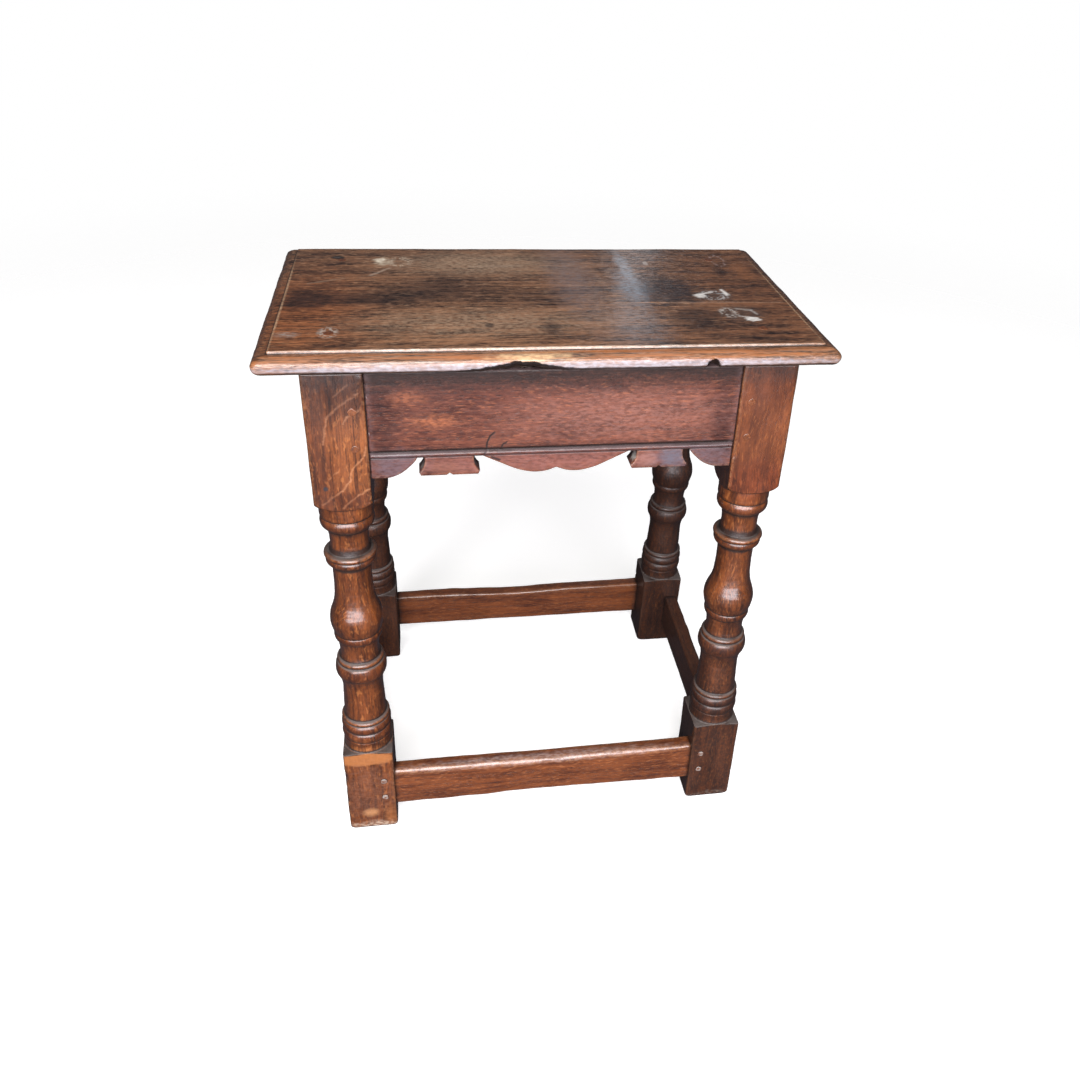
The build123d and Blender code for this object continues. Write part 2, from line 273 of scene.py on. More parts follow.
class Nodes:
    """Adds nodes to a tree. An input is a socket to link or a plain value."""

    def __init__(self, tree):
        self.tree = tree

    def add(self, kind, inputs=(), **settings):
        """A node of that kind, with its settings and its inputs by name or number."""
        node = self.tree.nodes.new(kind)
        for name, value in settings.items():
            setattr(node, name, value)
        for key, value in dict(inputs).items():
            socket = node.inputs[key]
            if isinstance(value, bpy.types.NodeSocket):
                self.tree.links.new(value, socket)
            else:
                socket.default_value = value
        return node

    def math(self, operation, *values):
        """The result of sums with single numbers."""
        return self.add("ShaderNodeMath", enumerate(values), operation=operation).outputs[0]

    def vector(self, operation, *values):
        """The result of sums with vectors."""
        node = self.add("ShaderNodeVectorMath", enumerate(values), operation=operation)
        return node.outputs["Value" if operation in ("LENGTH", "DOT_PRODUCT") else "Vector"]

    def noise(self, place, size, detail=2.0, output="Fac"):
        """Noise whose bumps measure size along each axis of the place it reads."""
        scaled = self.vector("DIVIDE", place, size)
        node = self.add("ShaderNodeTexNoise", {"Vector": scaled, "Scale": 1.0, "Detail": detail})
        return node.outputs[output]

    def ramp(self, value, low, high):
        """0 at low, 1 at high and a smooth step between, also where low is the higher."""
        inputs = {"Value": value, "From Min": low, "From Max": high}
        return self.add("ShaderNodeMapRange", inputs, interpolation_type="SMOOTHSTEP").outputs["Result"]

    def mix(self, factor, first, second, mode="MIX"):
        """A colour between two: the first at 0, the second at 1."""
        inputs = {0: factor, 6: first, 7: second}
        return self.add("ShaderNodeMix", inputs, data_type="RGBA", blend_type=mode).outputs[2]

    def group(self, tree, inputs):
        """The outputs of a node group with those inputs."""
        return self.add("ShaderNodeGroup", inputs, node_tree=tree).outputs


def new_group(name, inputs, outputs):
    """An empty node group with float, vector or colour sockets; gives its nodes and both ends."""
    kinds = {"float": "NodeSocketFloat", "vector": "NodeSocketVector", "colour": "NodeSocketColor"}
    tree = bpy.data.node_groups.new(name, "ShaderNodeTree")
    for direction, sockets in (("INPUT", inputs), ("OUTPUT", outputs)):
        for label, kind in sockets.items():
            tree.interface.new_socket(label, in_out=direction, socket_type=kinds[kind])
    nodes = Nodes(tree)
    entry = nodes.add("NodeGroupInput")
    return nodes, entry.outputs, tree


def object_mm(nodes):
    """The place on the piece in mm, in the stool's own frame."""
    return nodes.vector("DIVIDE", nodes.add("ShaderNodeTexCoord").outputs["Object"], (MM, MM, MM))


def oak_figure():
    """Streaks, pores, ray flecks, mottle and cloudy patches of oak, read from a point's place in the log."""
    outputs = {
        "Streaks": "float", "Pores": "float", "Flecks": "float", "Mottle": "float", "Patches": "float",
        "Height": "float",
    }
    nodes, given, tree = new_group("oak_figure", {"Grain": "vector"}, outputs)
    cloud = nodes.noise(given["Grain"], (70.0, 26.0, 26.0), 2.0, "Color")
    sway = nodes.vector("MULTIPLY", nodes.vector("SUBTRACT", cloud, (0.5, 0.5, 0.5)), (0.0, 7.0, 9.0))
    grain = nodes.vector("ADD", given["Grain"], sway)
    broad = nodes.noise(grain, (90.0, 3.4, 5.0), 2.0)
    fine = nodes.noise(grain, (26.0, 0.9, 1.5), 2.0)
    streaks = nodes.math("ADD", nodes.math("MULTIPLY", broad, 0.66), nodes.math("MULTIPLY", fine, 0.34))
    streaks = nodes.ramp(streaks, 0.35, 0.65)
    season = nodes.ramp(nodes.noise(grain, (260.0, 1.4, 50.0), 0.0), 0.42, 0.6)
    pores = nodes.math("MULTIPLY", nodes.ramp(nodes.noise(grain, (6.0, 0.5, 0.5), 1.0), 0.56, 0.66), season)
    flecks = nodes.ramp(nodes.noise(grain, (8.0, 4.0, 0.8), 2.0), 0.55, 0.7)
    mottle = nodes.ramp(nodes.noise(grain, (7.0, 2.0, 2.2), 3.0), 0.38, 0.62)
    patches = nodes.ramp(nodes.noise(grain, (46.0, 16.0, 16.0), 3.0), 0.32, 0.68)
    height = nodes.math("ADD", nodes.math("MULTIPLY", streaks, 0.05), nodes.math("MULTIPLY", pores, -0.14))
    height = nodes.math("ADD", height, nodes.math("MULTIPLY", flecks, 0.04))
    nodes.add("NodeGroupOutput", {
        "Streaks": streaks, "Pores": pores, "Flecks": flecks, "Mottle": mottle, "Patches": patches,
        "Height": height,
    })
    return tree


def age_marks():
    """Where arrises are rubbed pale, hollows hold dark wax, painted shade lies, and ledges hold grey dust.
    """
    nodes, given, tree = new_group(
        "age_marks",
        {"Wear": "float", "Grime": "float", "Dust": "float", "Ledges": "float"},
        {"Rubbed": "float", "Waxed": "float", "Dusty": "float", "Dents": "float"},
    )
    place = object_mm(nodes)
    speckle = nodes.noise(place, (2.6, 2.6, 2.6), 3.0)
    cloud = nodes.noise(place, (22.0, 22.0, 22.0), 2.0)
    rubbed = nodes.math("MULTIPLY", given["Wear"], nodes.ramp(speckle, 0.38, 0.62))
    uneven = nodes.math("MULTIPLY", nodes.math("SUBTRACT", speckle, 0.5), 0.5)
    # Dark wax and painted shade, both from the same attribute
    waxed_and_shaded = nodes.math("ADD", given["Grime"], uneven)
    waxed_and_shaded = nodes.math("MULTIPLY", nodes.ramp(waxed_and_shaded, 0.1, 0.9), 0.92)
    facing = nodes.add("ShaderNodeSeparateXYZ", {0: nodes.add("ShaderNodeNewGeometry").outputs["Normal"]})
    ledge = nodes.math("MULTIPLY", nodes.ramp(facing.outputs["Z"], 0.5, 0.9), given["Ledges"])
    settled = nodes.math("MULTIPLY", ledge, nodes.ramp(cloud, 0.2, 0.6))
    clung = nodes.math("MULTIPLY", given["Dust"], nodes.ramp(speckle, 0.3, 0.66))
    dents = nodes.noise(place, (1.6, 1.6, 1.6), 4.0)
    dusty = nodes.math("MAXIMUM", settled, clung)
    nodes.add("NodeGroupOutput", {"Rubbed": rubbed, "Waxed": waxed_and_shaded, "Dusty": dusty, "Dents": dents})
    return tree


def stain():
    """A ragged oval mark by its centre and reach in mm, broken into crumbs as far as Crumble says."""
    sockets = {"Centre": "vector", "Reach": "vector"}
    sockets.update({"Feather": "float", "Ragged": "float", "Crumble": "float"})
    nodes, given, tree = new_group("stain", sockets, {"Mask": "float"})
    place = object_mm(nodes)
    spread = nodes.vector("DIVIDE", nodes.vector("SUBTRACT", place, given["Centre"]), given["Reach"])
    away = nodes.vector("LENGTH", spread)
    rough = nodes.math("SUBTRACT", nodes.noise(place, (9.0, 4.0, 4.0), 4.0), 0.5)
    away = nodes.math("ADD", away, nodes.math("MULTIPLY", rough, given["Ragged"]))
    inner = nodes.math("SUBTRACT", 1.0, given["Feather"])
    outer = nodes.math("ADD", 1.0, given["Feather"])
    bits = nodes.ramp(nodes.noise(place, (5.0, 2.2, 2.4), 3.0), 0.38, 0.62)
    lost = nodes.math("MULTIPLY", nodes.math("SUBTRACT", 1.0, bits), given["Crumble"])
    mask = nodes.math("MULTIPLY", nodes.ramp(away, outer, inner), nodes.math("SUBTRACT", 1.0, lost))
    nodes.add("NodeGroupOutput", {"Mask": mask})
    return tree


def ring_mark():
    """A broken ring: given by its centre, its half axes and its width in mm."""
    sockets = {"Centre": "vector", "Reach": "vector", "Width": "float", "Gaps": "float"}
    nodes, given, tree = new_group("ring_mark", sockets, {"Mask": "float"})
    place = object_mm(nodes)
    spread = nodes.vector("DIVIDE", nodes.vector("SUBTRACT", place, given["Centre"]), given["Reach"])
    rough = nodes.math("SUBTRACT", nodes.noise(place, (2.4, 2.4, 2.4), 3.0), 0.5)
    away = nodes.math("SUBTRACT", nodes.vector("LENGTH", spread), 1.0)
    off = nodes.math("ABSOLUTE", nodes.math("ADD", away, nodes.math("MULTIPLY", rough, 0.5)))
    line = nodes.ramp(off, given["Width"], 0.0)
    kept = nodes.noise(place, (2.8, 2.8, 2.8), 2.0)
    kept = nodes.ramp(kept, given["Gaps"], nodes.math("ADD", given["Gaps"], 0.14))
    nodes.add("NodeGroupOutput", {"Mask": nodes.math("MULTIPLY", line, kept)})
    return tree


def scratch():
    """A wavering stroke between two places in mm: 1 along its middle, 0 beyond its width."""
    sockets = {"From": "vector", "To": "vector", "Width": "float"}
    nodes, given, tree = new_group("scratch", sockets, {"Mask": "float"})
    place = object_mm(nodes)
    shake = nodes.vector("SUBTRACT", nodes.noise(place, (5.0, 5.0, 5.0), 3.0, "Color"), (0.5, 0.5, 0.5))
    place = nodes.vector("ADD", place, nodes.vector("MULTIPLY", shake, (4.0, 4.0, 4.0)))
    run = nodes.vector("SUBTRACT", given["To"], given["From"])
    off = nodes.vector("SUBTRACT", place, given["From"])
    covered = nodes.vector("DOT_PRODUCT", off, run)
    share = nodes.math("DIVIDE", covered, nodes.vector("DOT_PRODUCT", run, run))
    share = nodes.add("ShaderNodeClamp", {"Value": share}).outputs["Result"]
    nearest = nodes.add("ShaderNodeVectorMath", {0: run, "Scale": share}, operation="SCALE")
    away = nodes.vector("LENGTH", nodes.vector("SUBTRACT", off, nearest.outputs["Vector"]))
    nodes.add("NodeGroupOutput", {"Mask": nodes.ramp(away, given["Width"], 0.0)})
    return tree


EFFECTS = {
    "figure": oak_figure,
    "age": age_marks,
    "stain": stain,
    "ring": ring_mark,
    "scratch": scratch,
}


def effect(name):
    """The node group of that effect, built the first time that it is asked for."""
    return bpy.data.node_groups.get(EFFECTS[name].__name__) or EFFECTS[name]()


class OakLook:
    """An oak surface as it is built up: its colour, roughness and height, before its shader.

    Its colour runs from dark to body, with flecks. Ledges says how much dust lies on them, gloss is
    its roughness, and keen (up to 0.5) sharpens the step between dark and body.
    """

    def __init__(
        self, name, body, dark, fleck, finish, flecks=0.5, mottle=0.2, ledges=0.0, gloss=0.3, keen=0.0
    ):
        self.material = bpy.data.materials.new(name)
        self.material.use_nodes = True
        self.material.node_tree.nodes.clear()
        self.nodes = Nodes(self.material.node_tree)
        self.finish = finish
        nodes = self.nodes
        grain = nodes.add("ShaderNodeAttribute", attribute_name="grain").outputs["Vector"]
        self.figure = nodes.group(effect("figure"), {"Grain": grain})
        wear = nodes.add("ShaderNodeAttribute", attribute_name="wear").outputs["Fac"]
        grime = nodes.add("ShaderNodeAttribute", attribute_name="grime").outputs["Fac"]
        dust = nodes.add("ShaderNodeAttribute", attribute_name="dust").outputs["Fac"]
        marks = {"Wear": wear, "Grime": grime, "Dust": dust, "Ledges": ledges}
        self.age = nodes.group(effect("age"), marks)
        patches = nodes.math("MULTIPLY", self.figure["Patches"], 0.4 * (1.0 - mottle))
        tone = nodes.math("MULTIPLY", self.figure["Streaks"], 0.6 * (1.0 - mottle))
        tone = nodes.math("ADD", tone, patches)
        tone = nodes.math("ADD", tone, nodes.math("MULTIPLY", self.figure["Mottle"], mottle))
        if keen:
            tone = nodes.ramp(tone, keen, 1.0 - keen)
        self.colour = nodes.mix(tone, (*dark, 1.0), (*body, 1.0))
        self.paint(nodes.math("MULTIPLY", self.figure["Flecks"], flecks), fleck)
        self.paint(nodes.math("MULTIPLY", self.figure["Pores"], 0.65), finish.pore_colour)
        self.rough = nodes.math("ADD", gloss, nodes.math("MULTIPLY", self.figure["Patches"], 0.1))
        dents = nodes.math("MULTIPLY", self.age["Dents"], 0.1)
        self.height = nodes.math("ADD", self.figure["Height"], dents)

    def paint(self, mask, colour, mode="MIX"):
        """Mixes a colour in where the mask says."""
        self.colour = self.nodes.mix(mask, self.colour, (*colour, 1.0), mode)

    def roughen(self, mask, amount):
        """Dulls the polish where the mask says."""
        self.rough = self.nodes.math("ADD", self.rough, self.nodes.math("MULTIPLY", mask, amount))

    def mark(self, name, sockets, colour, strength, rough=0.0, mode="MIX", streaked=False):
        """Paints one mark of that effect, along the wood's streaks or roughened too if asked."""
        mask = self.nodes.group(effect(name), sockets)["Mask"]
        mask = self.nodes.math("MULTIPLY", mask, strength)
        if streaked:
            mask = self.nodes.math("MULTIPLY", mask, self.figure["Streaks"])
        self.paint(mask, colour, mode)
        if rough:
            self.roughen(mask, rough)

    def stain(
        self, centre, reach, colour, strength, feather=0.4, ragged=1.0, crumble=0.0, rough=0.0, **options
    ):
        """A spot with a soft (feather) and frayed (ragged) edge, broken into crumbs if asked."""
        sockets = {"Centre": centre, "Reach": reach}
        sockets.update({"Feather": feather, "Ragged": ragged, "Crumble": crumble})
        self.mark("stain", sockets, colour, strength, rough, **options)

    def shade(self, centre, reach, colour, strength, feather=0.4, ragged=1.0):
        """A stain that darkens what it covers instead of hiding it."""
        self.stain(centre, reach, colour, strength, feather, ragged, mode="MULTIPLY")

    def ring(self, centre, reach, width, colour, strength, gaps=0.4):
        """A ring with gaps, such as a wet cup leaves."""
        sockets = {"Centre": centre, "Reach": reach, "Width": width, "Gaps": gaps}
        self.mark("ring", sockets, colour, strength, rough=0.25)

    def scratch(self, start, end, width, colour, strength, rough=0.1):
        """A scratch from one place to another."""
        self.mark("scratch", {"From": start, "To": end, "Width": width}, colour, strength, rough)

    def finished(self, specular=0.5, dust=None, patchy=0.25, shaded=(0.5, 1.0)):
        """Rubs the arrises, waxes the hollows, lays painted shade, dusts the ledges and sets the shader.

        The polish has worn off in spots as far as patchy says, and painted shade darkens the wood where it
        turns away from the eye, between the two shaded values.
        """
        nodes = self.nodes
        self.paint(nodes.math("MULTIPLY", self.age["Rubbed"], 0.6), self.finish.rubbed_colour)
        # Dark wax in the hollows, and the painted shade carried by the same attribute
        self.paint(self.age["Waxed"], self.finish.grime_colour)
        self.paint(self.age["Dusty"], dust or self.finish.dust_colour)
        self.roughen(self.age["Dusty"], 0.2)
        self.roughen(self.age["Waxed"], 0.15)
        dulled = nodes.math("MAXIMUM", self.age["Dusty"], self.age["Waxed"])
        bare = nodes.math("SUBTRACT", patchy, nodes.math("MULTIPLY", self.figure["Mottle"], patchy))
        dulled = nodes.math("MAXIMUM", dulled, bare)
        facing = nodes.add("ShaderNodeLayerWeight", {"Blend": 0.5}).outputs["Facing"]
        # Painted shade where the surface turns away from the eye
        self.paint(nodes.math("MULTIPLY", nodes.ramp(facing, *shaded), 0.78), self.finish.grime_colour)
        bump = nodes.add("ShaderNodeBump", {"Strength": 0.8, "Distance": MM, "Height": self.height})
        shader = nodes.add("ShaderNodeBsdfPrincipled", {
            "Base Color": self.colour,
            "Roughness": nodes.math("MINIMUM", self.rough, 0.85),
            "Specular IOR Level": specular,
            "Coat Weight": nodes.ramp(dulled, 1.0, 0.0),
            "Coat Roughness": 0.23,
            "Normal": bump.outputs["Normal"],
        })
        nodes.add("ShaderNodeOutputMaterial", {"Surface": shader.outputs["BSDF"]})
        return self.material


# ---------------------------------------------------------------------------------------
# What a user would change


def size_setting(name, description, default, smallest=0.0):
    """A size that a user would change, in metres."""
    return FloatProperty(name=name, description=description, default=default, min=smallest, unit="LENGTH")


class StoolShape(PropertyGroup):
    """Sizes of the wear on the stool's shapes."""

    corner_radius: size_setting("Board corner", "Rounding of the board's corners at the nose", 0.005, 0.001)
    unevenness: size_setting("Unevenness", "How far hand-planed faces stray from flat", 0.0003)
    turning_marks: size_setting("Turning marks", "Depth of the lathe tool's ripples", 0.00015)
    foot_wear: size_setting("Foot wear", "How far the feet's lower arrises are worn off", 0.0028)
    chip_height: size_setting("Nose chip", "Height of the splinter missing under the front nose", 0.0092)


def colour_setting(name, description, default):
    """A colour that a user would change."""
    return FloatVectorProperty(name=name, description=description, subtype="COLOR", default=default)


def power_setting(name, description, default):
    """The power of a light, in watts."""
    return FloatProperty(name=name, description=description, default=default, min=0.0, unit="POWER")


class StoolFinish(PropertyGroup):
    """Colours of the old oak and of what lies on it."""

    board_colour: colour_setting("Board", "Body colour of the board", (0.27, 0.127, 0.06))
    leg_colour: colour_setting("Legs", "Body colour of the legs", (0.21, 0.055, 0.0095))
    rail_colour: colour_setting("Frieze rails", "Body colour of the frieze rails", (0.145, 0.044, 0.024))
    stretcher_colour: colour_setting("Stretchers", "Body colour of the stretchers", (0.185, 0.052, 0.013))
    peg_colour: colour_setting("Pegs", "Body colour of the pegs", (0.2, 0.058, 0.013))
    pore_colour: colour_setting("Pores", "Dark wax in the open pores", (0.02, 0.008, 0.005))
    rubbed_colour: colour_setting("Rubbed arrises", "Paler wood on rubbed arrises", (0.3, 0.14, 0.06))
    # This colour also paints the painted shade
    grime_colour: colour_setting("Grime", "Black wax in hollows", (0.012, 0.007, 0.006))
    dust_colour: colour_setting("Dust", "Grey dust on ledges", (0.1, 0.083, 0.076))


class StoolStage(PropertyGroup):
    """The floor and the studio light."""

    floor_colour: colour_setting("Floor", "Colour of the plain floor", (0.8, 0.8, 0.8))
    surround: FloatProperty(
        name="Surround", description="Strength of the even light all round", default=0.2, min=0.0
    )
    window: power_setting("Window", "Power of the broad low light in front", 105.0)
    skylight: power_setting("Skylight", "Power of the soft light high up in front", 60.0)
    overhead: power_setting("Overhead", "Power of the soft light above", 10.0)
    strip: power_setting("Strip", "Power of the narrow light behind, seen as a sheen on the board", 0.22)


# ---------------------------------------------------------------------------------------
# Board

# How far in from the nose the flat top and the flat underside start
TOP_INSET = 15.0
UNDER_INSET = 9.0

# The moulding below the top: the quirk at the foot of its step, the ovolo, the nose and the round
# beneath it
QUIRK_DROP = 2.3
OVOLO_WIDTH = 12.0
OVOLO_HEIGHT = 7.0
NOSE_DROP = 9.5
UNDER_ROUND = 5.0

# The splinter missing under the front nose, as X in mm and the share of its height, and the nail
# notch beside it
CHIP = (
    (-108.0, 0.0), (-80.0, 0.22), (-63.0, 0.5), (-44.0, 0.92), (-24.0, 1.0), (-12.0, 0.72), (8.0, 0.36),
    (46.0, 0.0),
)
NOTCH_X = 131.0
NOTCH_HALF_WIDTH = 5.8
NOTCH_HEIGHT = 9.0
NOTCH_DEPTH = 9.0

# Splits in the top: first X, last X, Y and depth
SPLITS = ((88.0, 186.0, -28.5, 0.7), (-197.0, -187.0, 99.5, 1.0))

# The board's log: the Y and Z of its pith, and where the board starts along it
BOARD_PITH = (-330.0, 610.0)
BOARD_START = 400.0


def board_profile():
    """The moulded edge: inset from the nose and drop below the top, down to the underside."""
    thickness = SEAT - UNDERSIDE
    step = (
        (TOP_INSET, 0.0), (13.7, 0.0), (13.15, 0.1), (12.85, 0.4), (12.75, 1.0), (12.75, 1.9), (12.5, 2.35)
    )
    turn = np.linspace(math.pi / 2, 0.0, 13)
    ovolo = np.column_stack((
        OVOLO_WIDTH - OVOLO_WIDTH * np.cos(turn),
        NOSE_DROP - OVOLO_HEIGHT * np.sin(turn),
    ))
    turn = np.linspace(0.0, math.pi / 2, 10)[1:]
    under = np.column_stack((
        UNDER_ROUND - UNDER_ROUND * np.cos(turn),
        NOSE_DROP + (thickness - NOSE_DROP) * np.sin(turn),
    ))
    return np.concatenate((step, ovolo, under, ((6.2, thickness), (UNDER_INSET, thickness))))


def chip_rise(x):
    """How far above the underside the splinter is missing, as a share, along the front."""
    return np.interp(x, *np.array(CHIP).T)


def round_corner(points, half, radius):
    """Moves points of a rectangle onto its rounded corners, spread evenly round them."""
    size = np.abs(points)
    away = half - size
    near = (away < radius).all(axis=1)
    along = np.clip(away.max(axis=1) / radius, 0.0, 1.0)
    toward_x = away[:, 0] < away[:, 1]
    turn = math.pi / 4 * np.where(toward_x, 1.0 - along, 1.0 + along)
    bend = half - radius + radius * np.column_stack((np.cos(turn), np.sin(turn)))
    rounded = np.where(near[:, None], bend, size)
    return np.sign(points) * rounded


def make_board(shape, material):
    """The board as a grid on top, the loops of its moulded edge and a grid beneath."""
    flat_half = HALF_BOARD - TOP_INSET
    xs = stations(-flat_half[0], flat_half[0], 3.2, (
        (-230.0, 4.0, 1.0), (230.0, 4.0, 1.0), (-20.0, 60.0, 1.6), (NOTCH_X, NOTCH_HALF_WIDTH + 1.0, 0.6),
    ))
    ys = stations(-flat_half[1], flat_half[1], 3.0, (
        (-125.0, 4.0, 1.0), (125.0, 4.0, 1.0), (SPLITS[0][2], 1.2, 0.35), (SPLITS[1][2], 1.2, 0.35),
    ))
    columns, rows = len(xs), len(ys)
    flat_x, flat_y = (a.ravel() for a in np.meshgrid(xs, ys))
    index = np.arange(rows * columns).reshape(rows, columns)
    rim = np.concatenate((index[0, :-1], index[:-1, -1], index[-1, :0:-1], index[:0:-1, 0]))

    flat = np.column_stack((flat_x, flat_y))
    radius = shape.corner_radius / MM
    profile = board_profile()
    loops = []
    for inset, drop in profile:
        half = HALF_BOARD - inset
        rounding = max(radius * (1.0 - 0.85 * ease(inset, 2.0, 13.0)), 0.6)
        loop = round_corner(flat[rim] * half / flat_half, half, rounding)
        loops.append(np.column_stack((loop, np.full(len(rim), SEAT - drop))))
    top = np.column_stack((flat, np.full(len(flat), SEAT)))
    below = flat * (HALF_BOARD - UNDER_INSET) / flat_half
    bottom = np.column_stack((below, np.full(len(flat), UNDERSIDE)))
    moulding = np.concatenate(loops[1:-1])
    points = np.concatenate((top, moulding, bottom))

    faces = quads(rows, columns)
    shift = len(top) + len(moulding)
    faces += [tuple(shift + i for i in reversed(face)) for face in quads(rows, columns)]
    chain = [rim] + [len(top) + k * len(rim) + np.arange(len(rim)) for k in range(len(profile) - 2)]
    chain.append(shift + rim)
    for upper, lower in zip(chain, chain[1:]):
        ends = np.column_stack((upper, np.roll(upper, -1), np.roll(lower, -1), lower))
        faces += [tuple(int(i) for i in face) for face in ends]

    grime, wear = age_board(points, profile, len(top), len(rim))
    damage_board(points, grime, wear, shape)
    uneven_board(points, grime, shape)
    grain = log_grain(points[:, 0], points[:, 1], points[:, 2], BOARD_PITH, BOARD_START)
    return make_piece("board", points, faces, material, "oak_board", ["top_board"], grain, grime, wear)


def age_board(points, profile, first, around):
    """Dark wax and painted shade in the moulding's quirk, and rubbed arrises, loop by loop."""
    grime = np.zeros(len(points))
    wear = np.zeros(len(points))
    for k, (inset, drop) in enumerate(profile[1:-1]):
        loop = slice(first + k * around, first + (k + 1) * around)
        # Dark wax and painted shade in the quirk at the foot of the step
        grime[loop] = 0.9 * math.exp(-(((drop - QUIRK_DROP) / 0.5) ** 2)) * (inset > 11.0)
        step_arris = math.exp(-(((drop - 0.2) / 0.45) ** 2)) * (inset < 13.5)
        wear[loop] = step_arris + 0.5 * math.exp(-(((drop - NOSE_DROP) / 3.0) ** 2))
    under = points[:, 2] < UNDERSIDE + 3.0
    grime[under] = np.maximum(grime[under], 0.6)
    return grime, wear


def damage_board(points, grime, wear, shape):
    """Breaks the long splinter and the nail notch out of the front nose."""
    x, y, z = points.T
    front = y < -HALF_BOARD[1] + TOP_INSET + 1.0
    along = points * (1.0, 0.0, 0.0)
    ripple = 1.0 + 0.16 * wobble(along, 7.0, 3.0) + 0.1 * wobble(along, 2.5, 5.0)
    rise = shape.chip_height / MM * chip_rise(x) * ripple
    cut = UNDERSIDE + rise
    below = front & (z < cut) & (rise > 0.15)
    depth = (cut - z) * (1.15 + 0.35 * wobble(points, 4.0, 8.0)) + 0.9 * ease(rise, 0.5, 3.0)
    face = -HALF_BOARD[1] + depth
    y[below] = np.maximum(y[below], face[below])
    # Painted shadow inside the missing splinter
    grime[below] = np.maximum(grime[below], 1.0 - 0.35 * ease(x[below], 0.0, 14.0))
    lip = front & (np.abs(z - cut) < 0.7) & (rise > 0.15)
    wear[lip] = 0.0
    # Painted shadow along the splinter's torn lip
    grime[lip] = np.maximum(grime[lip], 0.8)
    nail = 1.0 - ((x - NOTCH_X) / NOTCH_HALF_WIDTH) ** 2 - ((z - UNDERSIDE) / NOTCH_HEIGHT) ** 2
    nail = np.where(front, np.clip(nail, 0.0, 1.0), 0.0)
    y += NOTCH_DEPTH * np.sqrt(nail)
    grime[:] = np.maximum(grime, ease(nail, 0.0, 0.12))
    points[:, 1] = y


def uneven_board(points, grime, shape):
    """Lets the top wander, wears its arrises unevenly and opens its splits."""
    x, y, z = points.T
    top = ease(z, SEAT - 3.0, SEAT)
    swell = wobble(points, 60.0, 1.0) + 0.4 * wobble(points, 14.0, 2.0)
    z -= top * (shape.unevenness / MM) * (1.0 + swell)
    for first, last, middle, depth in SPLITS:
        wander = middle + 0.8 * wobble(np.column_stack((x, 0.0 * x, 0.0 * x)), 30.0, middle)
        reached = ease(x, first, first + 4.0) * (1.0 - ease(x, last - 4.0, last))
        opening = np.exp(-(((y - wander) / 0.45) ** 2)) * reached * (z > SEAT - 1.5)
        z -= depth * opening
        grime[:] = np.maximum(grime, opening)
    points[:, 2] = z
    edge = np.minimum(HALF_BOARD[0] - np.abs(x), HALF_BOARD[1] - np.abs(y))
    moulded = ease(edge, 13.0, 0.0)
    stray = 0.7 * wobble(points * (1.0, 1.0, 0.3), 26.0, 4.0) + 0.25 * wobble(points, 5.0, 6.0)
    pull = moulded * np.clip(0.35 + stray, 0.0, 1.2)
    long_side = HALF_BOARD[1] - np.abs(y) < HALF_BOARD[0] - np.abs(x)
    points[:, 1] -= np.where(long_side, np.sign(y) * pull, 0.0)
    points[:, 0] -= np.where(long_side, 0.0, np.sign(x) * pull)


# ---------------------------------------------------------------------------------------
# Legs

